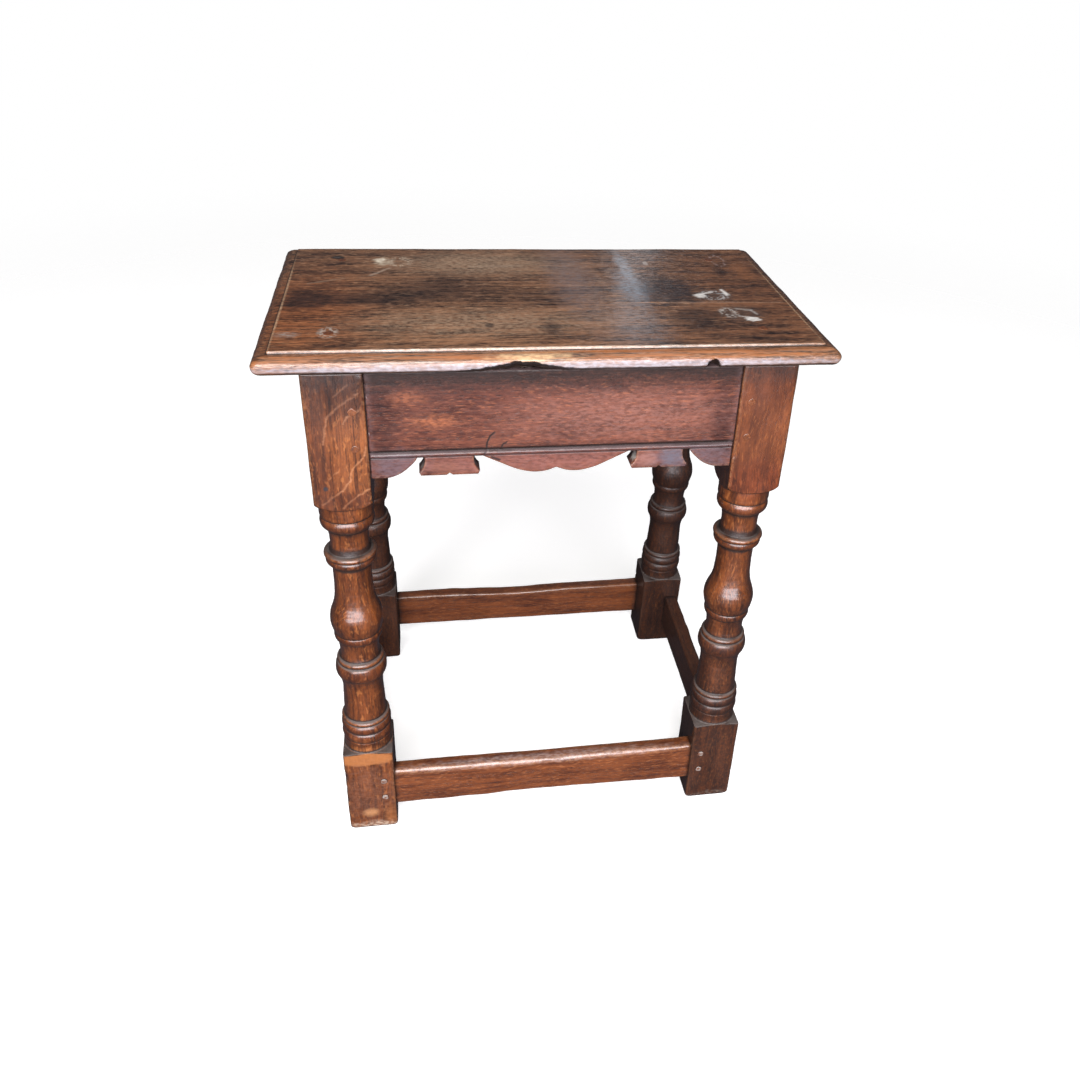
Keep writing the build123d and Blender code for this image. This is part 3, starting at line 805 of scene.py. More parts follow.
# The turned profile from the floor up: height along the lathe axis and radius, in mm
CORNER = 36.0
FOOT_BLOCK_TOP = 108.5
HEAD_BLOCK_FOOT = 396.0
FOOT_SHOULDER = arc((106.6, CORNER), (108.0, 29.5), (FOOT_BLOCK_TOP, 24.3))
HEAD_SHOULDER = arc((HEAD_BLOCK_FOOT, 24.3), (400.0, 32.5), (410.0, CORNER))
LEG_STROKES = (
    # Drum on the foot block
    arc((FOOT_BLOCK_TOP, 24.3), (114.5, 23.8), (120.5, 24.2)),
    ((120.5, 24.2), (121.0, 23.6), (121.6, 24.0)),
    # Two rings and a bead at the foot of the column
    arc((121.6, 24.0), (126.2, 25.0), (131.0, 23.8)),
    ((131.0, 23.8), (131.8, 22.8), (132.6, 23.6)),
    arc((132.6, 23.6), (137.0, 24.8), (141.5, 23.4)),
    ((141.5, 23.4), (142.3, 22.2), (143.0, 23.0)),
    arc((143.0, 23.0), (145.0, 23.9), (147.0, 22.9)),
    ((147.0, 22.9), (148.0, 20.9)),
    # Column, flared under the large ring
    curve((148.0, 20.9), (160.0, 20.6), (175.0, 20.0), (186.0, 19.8), (193.0, 20.7), (198.5, 22.3)),
    # Large ring and its bead
    ((198.5, 22.3), (199.0, 22.8)),
    arc((199.0, 22.8), (206.8, 24.9), (214.6, 23.2)),
    ((214.6, 23.2), (215.5, 21.4), (216.3, 21.8)),
    arc((216.3, 21.8), (218.4, 22.6), (220.5, 21.6)),
    ((220.5, 21.6), (221.4, 19.6)),
    # Hollow neck and small ring under the bulb
    curve((221.4, 19.6), (226.0, 18.8), (231.0, 18.7), (237.0, 19.2), (243.0, 20.3)),
    ((243.0, 20.3), (243.8, 21.5)),
    arc((243.8, 21.5), (247.5, 22.7), (251.2, 22.3)),
    ((251.2, 22.3), (252.1, 21.7), (253.0, 22.6)),
    # Bulb and long neck
    curve((253.0, 22.6), (259.0, 24.2), (266.0, 25.1), (273.0, 24.2), (280.0, 21.8), (286.0, 19.8),
          (292.0, 18.6), (300.0, 17.9), (315.0, 17.5), (328.5, 17.8)),
    # Collar ring and its bead
    ((328.5, 17.8), (329.6, 19.8)),
    arc((329.6, 19.8), (333.8, 22.9), (337.2, 22.4)),
    ((337.2, 22.4), (337.7, 21.9), (338.2, 22.9)),
    arc((338.2, 22.9), (340.5, 24.1), (342.8, 22.9)),
    ((342.8, 22.9), (343.7, 18.9)),
    # Short hollow neck
    curve((343.7, 18.9), (349.0, 17.8), (356.0, 17.5), (362.0, 17.9), (368.3, 19.2)),
    # Ring and drum under the head block
    ((368.3, 19.2), (368.9, 20.6)),
    arc((368.9, 20.6), (375.0, 24.4), (380.6, 23.2)),
    ((380.6, 23.2), (381.4, 22.6), (382.2, 23.9)),
    ((382.2, 23.9), (384.0, 24.3), (HEAD_BLOCK_FOOT, 24.3)),
)
TURNED_STEP = 0.9
BLOCK_STEP = 3.0
AROUND_QUARTER = 26

# Each leg's log: where its pith lies from the leg's axis, where its length starts, its own seed and
# how much darker it is painted at the foot and at the head, which on the back legs is painted shade
LEG_LOGS = {
    "front_left": ((-70.0, 8.0), 900.0, 1.0, (0.0, 0.22)),
    "front_right": ((25.0, -75.0), 2300.0, 2.0, (0.62, 0.16)),
    "back_left": ((60.0, 50.0), 3700.0, 3.0, (0.66, 0.6)),
    "back_right": ((-40.0, 66.0), 5100.0, 4.0, (0.7, 0.66)),
}

# Rays across the left front head block, each from its top to its bottom as X and height
HEAD_RAYS = (
    ((-161.0, 458.0), (-163.0, 450.0), (-174.0, 437.0), (-176.0, 426.0), (-183.0, 417.0), (-201.0, 404.0)),
    ((-164.0, 507.0), (-180.0, 496.0), (-191.0, 485.0), (-195.0, 462.0)),
    ((-172.0, 514.0), (-183.0, 504.0)),
    ((-160.0, 418.0), (-170.0, 412.0), (-184.0, 400.0)),
    ((-163.0, 493.0), (-174.0, 486.0), (-178.0, 480.0)),
    ((-186.0, 435.0), (-193.0, 429.0)),
)

# Where wax darkens the front legs: height along the leg, and reach
WAXED_RINGS = ((134.0, 15.0), (209.0, 10.0), (248.0, 4.5), (336.0, 8.5), (375.0, 6.5))


def leg_rings():
    """Heights and radii of the leg's rings, with how deep each sits in a hollow or on a crest."""
    first, last = FOOT_SHOULDER[0, 0], HEAD_SHOULDER[-1, 0]
    foot = stations(0.0, first, BLOCK_STEP, ((0.0, 4.0, 0.5), (first, 2.0, 0.5)))[:-1]
    top = UNDERSIDE / math.cos(RAKE)
    head = stations(last, top, BLOCK_STEP, ((last, 2.0, 0.8), (top, 1.0, 1.0)))[1:]
    turned = trace((even(FOOT_SHOULDER, 0.5),) + LEG_STROKES + (even(HEAD_SHOULDER, 0.5),), TURNED_STEP)
    heights = np.concatenate((foot, turned[:, 0], head))
    radii = np.concatenate((np.full(len(foot), CORNER), turned[:, 1], np.full(len(head), CORNER)))
    turned = np.minimum(radii, BILLET / 2)
    lifts = []
    for reach in (2.2, 7.0):
        near = np.exp(-(((heights[:, None] - heights[None, :]) / reach) ** 2))
        lifts.append(turned - (near * turned[None, :]).sum(axis=1) / near.sum(axis=1))
    hollow = np.maximum(ease(-lifts[0], 0.05, 0.9), 0.85 * ease(-lifts[1], 0.3, 2.2))
    return heights, radii, hollow, ease(lifts[0], 0.1, 0.9)


def quarter_angles():
    """Angles round the leg, closest together at the billet's four arrises."""
    s = np.linspace(-1.0, 1.0, AROUND_QUARTER, endpoint=False)
    quarter = math.pi / 4 * np.sign(s) * np.abs(s) ** 1.3
    return np.concatenate([quarter + math.pi / 4 * (1 + 2 * k) for k in range(4)])


def make_leg(corner, shape, material):
    """One billet, square at both ends and turned between, with its rings, wear, dark wax and painted shade.
    """
    pith, start, seed, dark = LEG_LOGS[corner]
    heights, radii, hollow, crest = leg_rings()
    angles = quarter_angles()
    rows, columns = len(heights), len(angles)
    h = np.repeat(heights, columns)
    r = np.repeat(radii, columns)
    turn = np.tile(angles, rows)
    cosine, sine = np.cos(turn), np.sin(turn)

    # The square billet, its arrises softened and its feet worn
    arris_place = np.column_stack((h, 40.0 * np.floor(turn / (math.pi / 2)), np.zeros_like(h)))
    sharpness = 30.0 + 14.0 * wobble(arris_place, 22.0, seed)
    sharpness -= 16.0 * (1.0 - ease(h, 0.0, 9.0))
    worn = shape.foot_wear / MM * np.clip(1.0 - h / 5.0, 0.0, 1.0) ** 2
    spread = np.abs(cosine) ** sharpness + np.abs(sine) ** sharpness
    square = (BILLET / 2 - worn) / spread ** (1.0 / sharpness)

    # The turning cuts into the billet; a soft minimum rounds where the two meet
    keen = 2.6
    reach = -np.log(np.exp(-keen * (r - 30.0)) + np.exp(-keen * (square - 30.0))) / keen + 30.0
    block = ease(r - square, -0.6, 0.8)
    place = np.column_stack((h, reach * cosine, reach * sine))
    ripple = wobble(place * (1.0, 0.25, 0.25), 2.6, seed + 5.0) + 0.8 * wobble(place, 40.0, seed + 2.0)
    faces_stray = wobble(place * (0.5, 1.0, 1.0), 17.0, seed + 7.0)
    reach -= (1.0 - block) * (shape.turning_marks / MM) * (0.9 + ripple)
    reach -= block * (shape.unevenness / MM) * (0.8 + faces_stray)
    nicks = ease(wobble(place, 9.0, seed + 11.0), 0.42, 0.62) * ease(reach, 31.0, 34.5)
    reach -= 1.6 * nicks

    # The rings lie level at both ends and square to the lathe axis between
    outward = -FRONT_FACE.inward
    level = 1.0 - ease(h, 20.0, 70.0) + ease(h, 430.0, 490.0)
    slide = h - level * reach * sine * math.tan(RAKE)
    points = LEG_FOOT + np.multiply.outer(slide, FRONT_FACE.up) + np.multiply.outer(reach * sine, outward)
    points[:, 0] += reach * cosine

    sides = np.sort(np.abs((cosine, sine)), axis=0)
    away = BILLET / 2 * (1.0 - sides[0] / sides[1])
    wear = block * np.exp(-((away / 1.6) ** 2)) * 0.8 + (1.0 - block) * np.repeat(crest, columns) * 0.45
    grime = 1.7 * (1.0 - block) * np.repeat(hollow, columns)
    dust = 0.9 * np.exp(-(((h - FOOT_BLOCK_TOP) / 1.2) ** 2)) * (r < 25.5)
    # Darker from foot to head as the log says; on the back legs this is painted shade
    grime = np.maximum(grime, dark[0] + (dark[1] - dark[0]) * ease(h, 90.0, 400.0))
    shoulder = np.exp(-(((r - square) / 0.9) ** 2)) * ((h > 94.0) & (h < 112.0) | (h > 392.0) & (h < 412.0))
    wear = np.maximum(wear, 0.25 * shoulder)
    # Painted shadow of the board over the top of the head block
    grime = np.maximum(grime, 0.6 * ease(h, UNDERSIDE - 30.0, UNDERSIDE))
    spandrel = ease(away, BILLET / 2, BILLET / 4)
    grime = np.maximum(grime, 0.8 * spandrel * (r > 25.5) * (h > 107.0) * (h < FOOT_BLOCK_TOP))
    grain = log_grain(slide, reach * cosine, reach * sine, pith, start)

    faces = quads(rows, columns, closed=True)
    faces.append(tuple(range(columns)))
    faces.append(tuple((rows - 1) * columns + i for i in range(columns)))
    sign_x, sign_y = CORNERS[corner]
    points = points * (sign_x, sign_y, 1.0)
    node = f"leg_{corner}"
    aged = (grain, grime, wear, dust)
    return make_piece(f"turned_{node}", points, faces, material, "oak_legs", [node], *aged)


# ---------------------------------------------------------------------------------------
# Frieze rails


def half_fret(fret, shoulder):
    """The rail's lower edge from the middle to the leg: lobe, notch, tab, notch and half ogee."""
    lobe, notch, tab_start, tab_end, ogee = fret
    middle = (tab_start + tab_end) / 2
    ear_start, ear_end = tab_start - TAB_FLARE, tab_end + TAB_FLARE
    reach = shoulder - ogee
    low = FRET_LOW
    return (
        curve((0.0, low + 4.0), (0.13 * notch, low + 1.0), (lobe, low), (0.5 * notch, low + 2.6),
              (0.76 * notch, low + 10.0), (notch, FRET_NOTCH)),
        ((notch, FRET_NOTCH), (tab_start, FRET_NOTCH)),
        arc((tab_start, FRET_NOTCH), (tab_start - 1.0, low + 9.0), (ear_start, low + 3.0)),
        ((ear_start, low + 3.0), (ear_start + 1.5, low)),
        ((ear_start + 1.5, low), (middle - 2.5, low)),
        ((middle - 2.5, low), (middle, low + 2.0), (middle + 2.5, low)),
        ((middle + 2.5, low), (ear_end - 1.5, low)),
        ((ear_end - 1.5, low), (ear_end, low + 3.0)),
        arc((ear_end, low + 3.0), (tab_end + 1.0, low + 9.0), (tab_end, FRET_NOTCH)),
        ((tab_end, FRET_NOTCH), (ogee, FRET_NOTCH)),
        curve((ogee, FRET_NOTCH), (ogee + 0.16 * reach, low + 9.5), (ogee + 0.38 * reach, low + 2.6),
              (ogee + 0.68 * reach, FRET_END), start=(0.4, -1.0), end=(1.0, 0.0)),
        ((ogee + 0.68 * reach, FRET_END), (shoulder + SOCKET, FRET_END)),
    )


def rail_outline(fret, shoulder_at):
    """The rail's closed outline across and up its face, fret first, and finely divided."""
    top = UNDERSIDE / (math.cos(RAKE) if shoulder_at is long_shoulder else 1.0) + 1.2
    half = trace(half_fret(fret, shoulder_at(FRET_END)), 0.8)
    ups = stations(FRET_END, top, 3.0, (NEAR_QUIRK,))[1:]
    side = np.column_stack(([shoulder_at(up) + SOCKET for up in ups], ups))
    edge = even(((side[-1][0], top), (0.0, top)), 3.0)[1:]
    right = np.concatenate((half, side, edge))
    left = right[-2:0:-1] * (-1.0, 1.0)
    return np.concatenate((right, left))


def inset(outline, distance):
    """The outline moved inwards by a distance, along the normals of a turn to the left."""
    ahead = np.roll(outline, -1, axis=0) - outline
    ahead /= np.linalg.norm(ahead, axis=1)[:, None]
    behind = np.roll(ahead, 1, axis=0)
    normal = np.column_stack((-(ahead + behind)[:, 1], (ahead + behind)[:, 0]))
    length = np.linalg.norm(normal, axis=1)
    normal /= np.maximum(length, 0.6)[:, None]
    return outline + distance * normal


def inside(points, outline, margin):
    """Which points lie inside the outline and at least margin from its corners."""
    within = np.zeros(len(points), bool)
    clear = np.full(len(points), np.inf)
    for (ax, ay), (bx, by) in zip(outline, np.roll(outline, -1, axis=0)):
        clear = np.minimum(clear, np.hypot(points[:, 0] - ax, points[:, 1] - ay))
        if ay != by:
            crosses = (ay > points[:, 1]) != (by > points[:, 1])
            within ^= crosses & (points[:, 0] < (bx - ax) * (points[:, 1] - ay) / (by - ay) + ax)
    return within & (clear > margin)


def mould_depth(up):
    """How far the moulding lies behind the rail's face: lower field, bead and quirk."""
    from_quirk = (
        (-5.6, 1.0), (-5.1, 1.9), (-4.6, 0.8), (-4.0, 0.25), (-3.0, 0.0), (-2.0, 0.2), (-1.3, 0.9),
        (-0.9, 2.6), (0.5, 2.8), (1.1, 0.25), (1.8, 0.0),
    )
    heights, depths = np.array(from_quirk).T
    return np.interp(up, QUIRK_HEIGHT + heights, depths)


def near_line(points, line, width):
    """1 on a broken line, falling to 0 about width away from it."""
    closest = np.full(len(points), np.inf)
    for a, b in zip(np.array(line), np.array(line[1:])):
        t = np.clip((points - a) @ (b - a) / ((b - a) @ (b - a)), 0.0, 1.0)
        closest = np.minimum(closest, np.linalg.norm(points - a - t[:, None] * (b - a), axis=1))
    return np.exp(-((closest / width) ** 2))


# How far the rail's sheets stop short of its outline, and the rings of points round its wall: the
# depth of each behind the face and how far in it lies
ARRIS = 0.9
WALL_RINGS = (
    (0.28, 0.28), (0.95, 0.0), (5.0, 0.0), (10.0, 0.0), (15.0, 0.0), (RAIL_THICKNESS - 0.95, 0.0),
    (RAIL_THICKNESS - 0.28, 0.28),
)

# The spacing of the sheets' points, and where round the quirk it is finer
SHEET_STEP = 2.8
NEAR_QUIRK = (QUIRK_HEIGHT - 2.5, 4.0, 0.5)

# Shakes in the front rail, across and up its face
FRONT_SHAKES = (
    ((-55.0, 466.5), (-57.8, 464.0), (-60.3, 458.0), (-61.0, 451.0), (-62.8, 446.0)),
    ((-44.0, 457.5), (-46.8, 456.0), (-48.6, 452.0)),
    ((-56.0, 443.0), (-50.0, 440.5)),
)

# Cracks in its right end, each as three places across and up its face
RAIL_CRACKS = (
    ((123.5, 435.5), (130.0, 437.0), (138.5, 438.5)),
    ((127.0, 432.5), (134.0, 433.5), (138.5, 434.7)),
)

# Where a highlight is painted on its notches' walls: across, up, and how strong
NOTCH_WALL_HIGHLIGHTS = ((-116.0, 436.0, 0.7), (-69.0, 438.0, 0.6), (69.0, 437.0, 1.0), (116.0, 440.0, 0.8))

# Each rail: its face, the signs that mirror it into place, its fret, its shoulder, its shakes, its
# pith and its seed
RAILS = {
    "front": (FRONT_FACE, (1, 1), FRONT_FRET, long_shoulder, FRONT_SHAKES, (-55.0, 62.0), 11.0),
    "back": (FRONT_FACE, (1, -1), FRONT_FRET, long_shoulder, (), (-40.0, 75.0), 12.0),
    "left": (LEFT_FACE, (1, 1), END_FRET, end_shoulder, (), (-70.0, 20.0), 13.0),
    "right": (LEFT_FACE, (-1, 1), END_FRET, end_shoulder, (), (-60.0, -35.0), 14.0),
}


def rail_sheet(outline, shoulder_at, shakes):
    """The rail's face inside its arrises: its points, its triangles and its rim.

    The rim's points come first. The others lie closest at the quirk, the legs and the shakes.
    """
    rim = inset(outline, ARRIS)
    ups = stations(FRET_LOW, outline[:, 1].max(), SHEET_STEP, (NEAR_QUIRK,))
    joint = shoulder_at(QUIRK_HEIGHT)
    near_joint = (shoulder_at(FRET_LOW) - shoulder_at(UNDERSIDE)) / 2 + 1.5
    near_joints = ((-joint, near_joint, 0.45), (joint, near_joint, 0.45))
    across = stations(rim[:, 0].min(), rim[:, 0].max(), SHEET_STEP, near_joints)
    fill = np.column_stack([a.ravel() for a in np.meshgrid(across, ups)])
    odd_row = np.repeat(np.arange(len(ups)), len(across)) % 2
    fill[:, 0] += 1.2 * odd_row * (np.abs(fill[:, 0]) < joint - 8.0)
    extra = []
    for shake in shakes:
        fill = fill[near_line(fill, shake, 1.6) < 0.3]
        centre = even(shake, 0.7)
        lean = np.gradient(centre, axis=0)
        lean = np.column_stack((-lean[:, 1], lean[:, 0])) / np.linalg.norm(lean, axis=1)[:, None]
        extra += [centre + lean * offset for offset in (-1.0, -0.4, 0.0, 0.4, 1.0)]
    fill = np.concatenate([fill] + extra)
    fill = fill[inside(fill, rim, 0.8)]
    sheet = np.concatenate((rim, fill))
    border = list(range(len(rim)))
    cells = geometry.delaunay_2d_cdt([Vector(p) for p in sheet], [], [border], 1, 1e-5)
    return np.array([tuple(p) for p in cells[0]]), cells[2], rim


def make_rail(side, shape, material):
    """One frieze rail: its moulded front sheet, the arrises and wall round it, and its back."""
    face, signs, fret, shoulder_at, shakes, pith, seed = RAILS[side]
    outline = rail_outline(fret, shoulder_at)
    sheet, triangles, rim = rail_sheet(outline, shoulder_at, shakes)
    count = len(rim)
    layers = [(sheet, mould_depth(sheet[:, 1]))]
    for depth, step in WALL_RINGS:
        ring = inset(outline, step)
        layers.append((ring, depth + mould_depth(ring[:, 1]) * (depth < 1.0)))
    layers.append((sheet, np.full(len(sheet), RAIL_THICKNESS)))
    flat = np.concatenate([layer[0] for layer in layers])
    depth = np.concatenate([layer[1] for layer in layers])

    faces = [tuple(t) for t in triangles]
    shift = len(sheet)
    walls = len(WALL_RINGS)
    faces += quads(walls, count, closed=True, first=shift)
    back = shift + walls * count
    for upper, lower in ((0, shift), (shift + (walls - 1) * count, back)):
        for i in range(count):
            ahead = (i + 1) % count
            faces.append((upper + i, upper + ahead, lower + ahead, lower + i))
    faces += [tuple(back + i for i in reversed(t)) for t in triangles]

    front = depth < RAIL_THICKNESS / 2
    to_leg = np.abs(flat[:, 0]) - np.array([shoulder_at(up) for up in flat[:, 1]])
    above_quirk = flat[:, 1] - QUIRK_HEIGHT
    # Painted shade in the quirk and on the field just above it, and in the groove below the bead
    quirk = 1.8 * np.exp(-(((above_quirk - 0.6) / 1.9) ** 2))
    quirk += 0.8 * np.exp(-(((above_quirk + 5.35) / 0.9) ** 2))
    quirk += 0.22 * ease(above_quirk, -5.0, -4.0) * (above_quirk < 0.0)
    grime = np.where(front, quirk, 0.2)
    split = np.zeros(len(flat))
    for shake in shakes:
        split = np.maximum(split, near_line(flat, shake, 0.7) * (depth < 3.0))
    grime = np.maximum(grime, 2.0 * split)
    wall = (depth > 3.0) & (depth < RAIL_THICKNESS - 0.2) & (flat[:, 1] < FRET_NOTCH + 0.5)
    grime = np.where(wall, 0.25 + 0.75 * ease(np.abs(depth - 9.0), 3.0, 8.0), grime)
    # Painted shadow of the board along the rail's top
    grime = np.maximum(grime, 0.85 * ease(flat[:, 1], UNDERSIDE - 34.0, UNDERSIDE + 3.0))
    grime = np.maximum(grime, ease(to_leg, -1.3, -0.5))
    wear = np.zeros(len(flat))
    wear[: len(rim)] = 0.5 * (rim[:, 1] < FRET_NOTCH)
    wear[shift:shift + 2 * count] = np.tile(0.8 * (outline[:, 1] < FRET_NOTCH), 2)
    low_field = ease(above_quirk, 0.0, -1.5) * front
    dust = low_field * (0.08 + 0.2 * ease(to_leg, -60.0, -5.0) + 0.4 * ease(flat[:, 1], 443.0, 446.0))
    dust *= 1.0 - np.clip(quirk, 0.0, 1.0)
    dust = np.maximum(dust, 0.25 * ease(to_leg, -7.0, -1.5) * front)

    points = face.at(flat[:, 0], flat[:, 1], depth + RAIL_SETBACK)
    swell = wobble(points * (0.6, 1.0, 1.0), 60.0, seed) + 0.12 * wobble(points, 9.0, seed + 1.0)
    stray = shape.unevenness / MM * swell
    groove = 1.5 * ease(to_leg, -1.0, 0.2)
    away = depth + RAIL_SETBACK + np.where(front, stray + 0.12 * split + groove, -stray)
    points = face.at(flat[:, 0], flat[:, 1], away)
    points[:, 2] = np.minimum(points[:, 2], UNDERSIDE)
    grain = log_grain(flat[:, 0], flat[:, 1] - 470.0, depth, pith, 900.0 * seed)
    points = points * (*signs, 1.0)
    node = f"frieze_rail_{side}"
    aged = (grain, grime, wear, dust)
    return make_piece(f"fretted_{node}", points, faces, material, "oak_rails", [node], *aged)


# ---------------------------------------------------------------------------------------
# Stretchers

# Each stretcher: its face, the signs that mirror it into place, its shoulder, its pith and its seed
STRETCHERS = {
    "front": (FRONT_FACE, (1, 1), long_shoulder, (-48.0, 40.0), 21.0),
    "back": (FRONT_FACE, (1, -1), long_shoulder, (30.0, 60.0), 22.0),
    "left": (LEFT_FACE, (1, 1), end_shoulder, (-60.0, 25.0), 23.0),
    "right": (LEFT_FACE, (-1, 1), end_shoulder, (50.0, -45.0), 24.0),
}

# How far its top is trodden down and its underside planed up (amount, middle and reach, in mm), and
# how much painted shade darkens it
STRETCHER_WEAR_AND_SHADE = {
    "front": ((1.2, 0.0, 90.0), (2.0, 10.0, 80.0), 0.0),
    "back": ((3.0, -10.0, 60.0), (0.0, 0.0, 60.0), 0.22),
    "left": ((1.5, 0.0, 50.0), (0.5, 0.0, 60.0), 0.4),
    "right": ((1.5, 20.0, 50.0), (0.5, 0.0, 60.0), 0.62),
}

# How round its arrises are worn: top outer, top inner, lower inner, lower outer
ARRIS_ROUNDS = (3.6, 2.0, 1.2, 1.2)


def bell(place, middle, reach):
    """1 at the middle, falling to 0 about its reach away."""
    return math.exp(-(((place - middle) / reach) ** 2))


def stretcher_section(rounding):
    """A loop round the section as depth and height in it, with 1 on its arrises and 0 on its faces."""
    half_depth = STRETCHER_THICKNESS / 2
    half_height = (STRETCHER_HIGH - STRETCHER_LOW) / 2
    corners = []
    for k, (side, level) in enumerate(((-1, 1), (1, 1), (1, -1), (-1, -1))):
        radius = rounding[k]
        turn = math.pi - k * math.pi / 2 + np.linspace(0.0, -math.pi / 2, 6)
        corners.append(np.column_stack((
            side * (half_depth - radius) + radius * np.cos(turn),
            level * (half_height - radius) + radius * np.sin(turn),
            np.ones(6),
        )))
    loop = []
    for k, steps in enumerate((4, 12, 4, 12)):
        start, end = corners[k][-1], corners[(k + 1) % 4][0]
        share = np.linspace(0.0, 1.0, steps + 1)[1:-1, None]
        loop += [corners[k], (start + share * (end - start)) * (1.0, 1.0, 0.0)]
    return np.concatenate(loop)


def make_stretcher(side, shape, material):
    """One stretcher, its arrises rounded and its edges dipping as they are worn."""
    face, signs, shoulder_at, pith, seed = STRETCHERS[side]
    trodden, planed, dark = STRETCHER_WEAR_AND_SHADE[side]
    middle = (STRETCHER_LOW + STRETCHER_HIGH) / 2
    shares = stations(-1.0, 1.0, 0.022)
    rows = []
    for share in shares:
        here = np.array([[share * 170.0, 0.0, 0.0]])
        soft = 1.0 + 0.8 * np.array([wobble(here, 28.0, seed + k)[0] for k in range(4)])
        rounding = np.clip(soft * ARRIS_ROUNDS, 0.5, 6.0)
        section = stretcher_section(rounding)
        dip = trodden[0] * bell(here[0, 0], *trodden[1:]) - 0.8 + 0.45 * wobble(here, 26.0, seed + 6.0)[0]
        rise = planed[0] * bell(here[0, 0], *planed[1:]) + 0.3 * wobble(here, 30.0, seed + 3.0)[0]
        section[:, 1] -= dip * ease(section[:, 1], 10.0, 22.0)
        section[:, 1] += rise * ease(section[:, 1], -10.0, -22.0)
        rows.append(section)
    rows = np.array(rows)
    count, around = rows.shape[:2]
    depth = rows[:, :, 0].ravel()
    up = rows[:, :, 1].ravel() + middle
    arris = rows[:, :, 2].ravel()
    reach = np.array([shoulder_at(height) for height in up]) + SOCKET
    across = np.repeat(shares, around) * reach
    setback = STRETCHER_SETBACK + STRETCHER_THICKNESS / 2
    points = face.at(across, up, depth + setback)
    swell = wobble(points, 30.0, seed) + 0.6 * wobble(points, 8.0, seed + 1.0)
    stray = shape.unevenness / MM * swell
    points = face.at(across, up + stray, depth * (1.0 - 0.04 * stray) + setback)
    faces = quads(count, around, closed=True)
    faces.append(tuple(range(around)))
    faces.append(tuple((count - 1) * around + i for i in range(around)))
    wear = (1.0 - dark) * arris * np.where(up > middle, 0.75, 0.35)
    ends = reach - SOCKET - np.abs(across)
    # Dark at the joints and along the underside, plus the stretcher's painted shade
    grime = 0.7 * (1.0 - ease(ends, 0.0, 5.0)) + 0.3 * (up < STRETCHER_LOW + 1.0) + dark
    grain = log_grain(across, up - middle, depth, pith, 700.0 * seed)
    points = points * (*signs, 1.0)
    node = f"stretcher_{side}"
    aged = (grain, grime, wear)
    return make_piece(f"worn_{node}", points, faces, material, "oak_stretchers", [node], *aged)


# ---------------------------------------------------------------------------------------
# Pegs

PEG_SIDES = 20

# How far the pegs' heads stand out of the wood: worn flush in the frieze, proud in the stretchers.
# The board's pegs start a little below its top.
FRIEZE_PEG_PROUD = 0.05
STRETCHER_PEG_PROUD = 0.9
TOP_PEG_PROUD = 0.25
TOP_PEG_SUNK = 0.35


def peg_mesh(centre, inward, side, radius, length, proud, seed):
    """One riven peg: a faceted, tapering shaft with a domed and slightly ragged head."""
    inward = np.array(inward, float)
    side = np.array(side, float)
    other = np.cross(inward, side)
    turn = np.linspace(0.0, 2.0 * math.pi, PEG_SIDES, endpoint=False)
    facets = 1.0 - 0.05 * np.cos(4.0 * turn + seed) - 0.03 * np.cos(7.0 * turn + 2.0 * seed)
    head = ((1.0, 0.0), (1.0, 0.35), (0.97, 0.62), (0.8, 0.84), (0.45, 0.95))
    shaft = ((0.2, 0.99), (2.0, 1.0), (0.5 * length, 0.97), (length, 0.85), (length, 0.0))
    rings = [(-out * proud, share) for out, share in head] + list(shaft)
    points, grain, grime, dust = [], [], [], []
    for depth, share in rings:
        reach = radius * share * facets
        across, up = reach * np.cos(turn), reach * np.sin(turn)
        ring = np.multiply.outer(across, side) + np.multiply.outer(up, other)
        points.append(np.array(centre) + ring + depth * inward)
        grain.append(log_grain(np.full(PEG_SIDES, depth), across, up, (9.0 + seed % 5, 6.0), 50.0 * seed))
        grime.append(np.full(PEG_SIDES, 0.9 if 0.9 < share and depth < 3.0 else 0.1))
        dust.append(np.full(PEG_SIDES, 0.9 if 0.2 < share < 0.9 else 0.0))
    faces = quads(len(rings), PEG_SIDES, closed=True)
    return [np.concatenate(values) for values in (points, grain, grime, dust)] + [faces]


def make_pegs(name, node, pegs, signs, material):
    """A group of pegs, each (centre, inward, side, radius, length, proud), as one piece.

    Dark wax lies round the heads of pegs that stand proud, and dust on them. Flush ones are covered with
    wax.
    """
    meshes = [peg_mesh(*peg, 3.0 * k + len(node)) for k, peg in enumerate(pegs)]
    points, grain, grime, dust = (np.concatenate([mesh[part] for mesh in meshes]) for part in range(4))
    faces = []
    for k, mesh in enumerate(meshes):
        first = k * len(mesh[0])
        faces += [tuple(first + i for i in face) for face in mesh[4]]
    if pegs[0][5] < 0.5:
        grime = np.full(len(points), 0.25)
        dust = np.zeros(len(points))
    aged = (grain, grime, np.zeros(len(points)), dust)
    piece = make_piece(name, points * (*signs, 1.0), faces, material, "oak_pegs", [node], *aged)
    weld = bmesh.new()
    weld.from_mesh(piece.data)
    bmesh.ops.remove_doubles(weld, verts=weld.verts, dist=0.02 * MM)
    weld.to_mesh(piece.data)
    weld.free()
    return piece


def corner_pegs(heights, proud):
    """The pegs of the left front leg at these heights: through the long tenon and the end tenon."""
    pegs = []
    for height in heights:
        spot = FRONT_FACE.at(-LONG_SHOULDER - PEG_FROM_SHOULDER, height, 0.0)
        pegs.append((spot, FRONT_FACE.inward, FRONT_FACE.across, PEG_RADIUS, PEG_DEPTH, proud))
        spot = LEFT_FACE.at(end_shoulder(height) + PEG_FROM_SHOULDER, height, 0.0)
        pegs.append((spot, LEFT_FACE.inward, LEFT_FACE.across, PEG_RADIUS, PEG_DEPTH, proud))
    return pegs


# ---------------------------------------------------------------------------------------
# Materials of the pieces


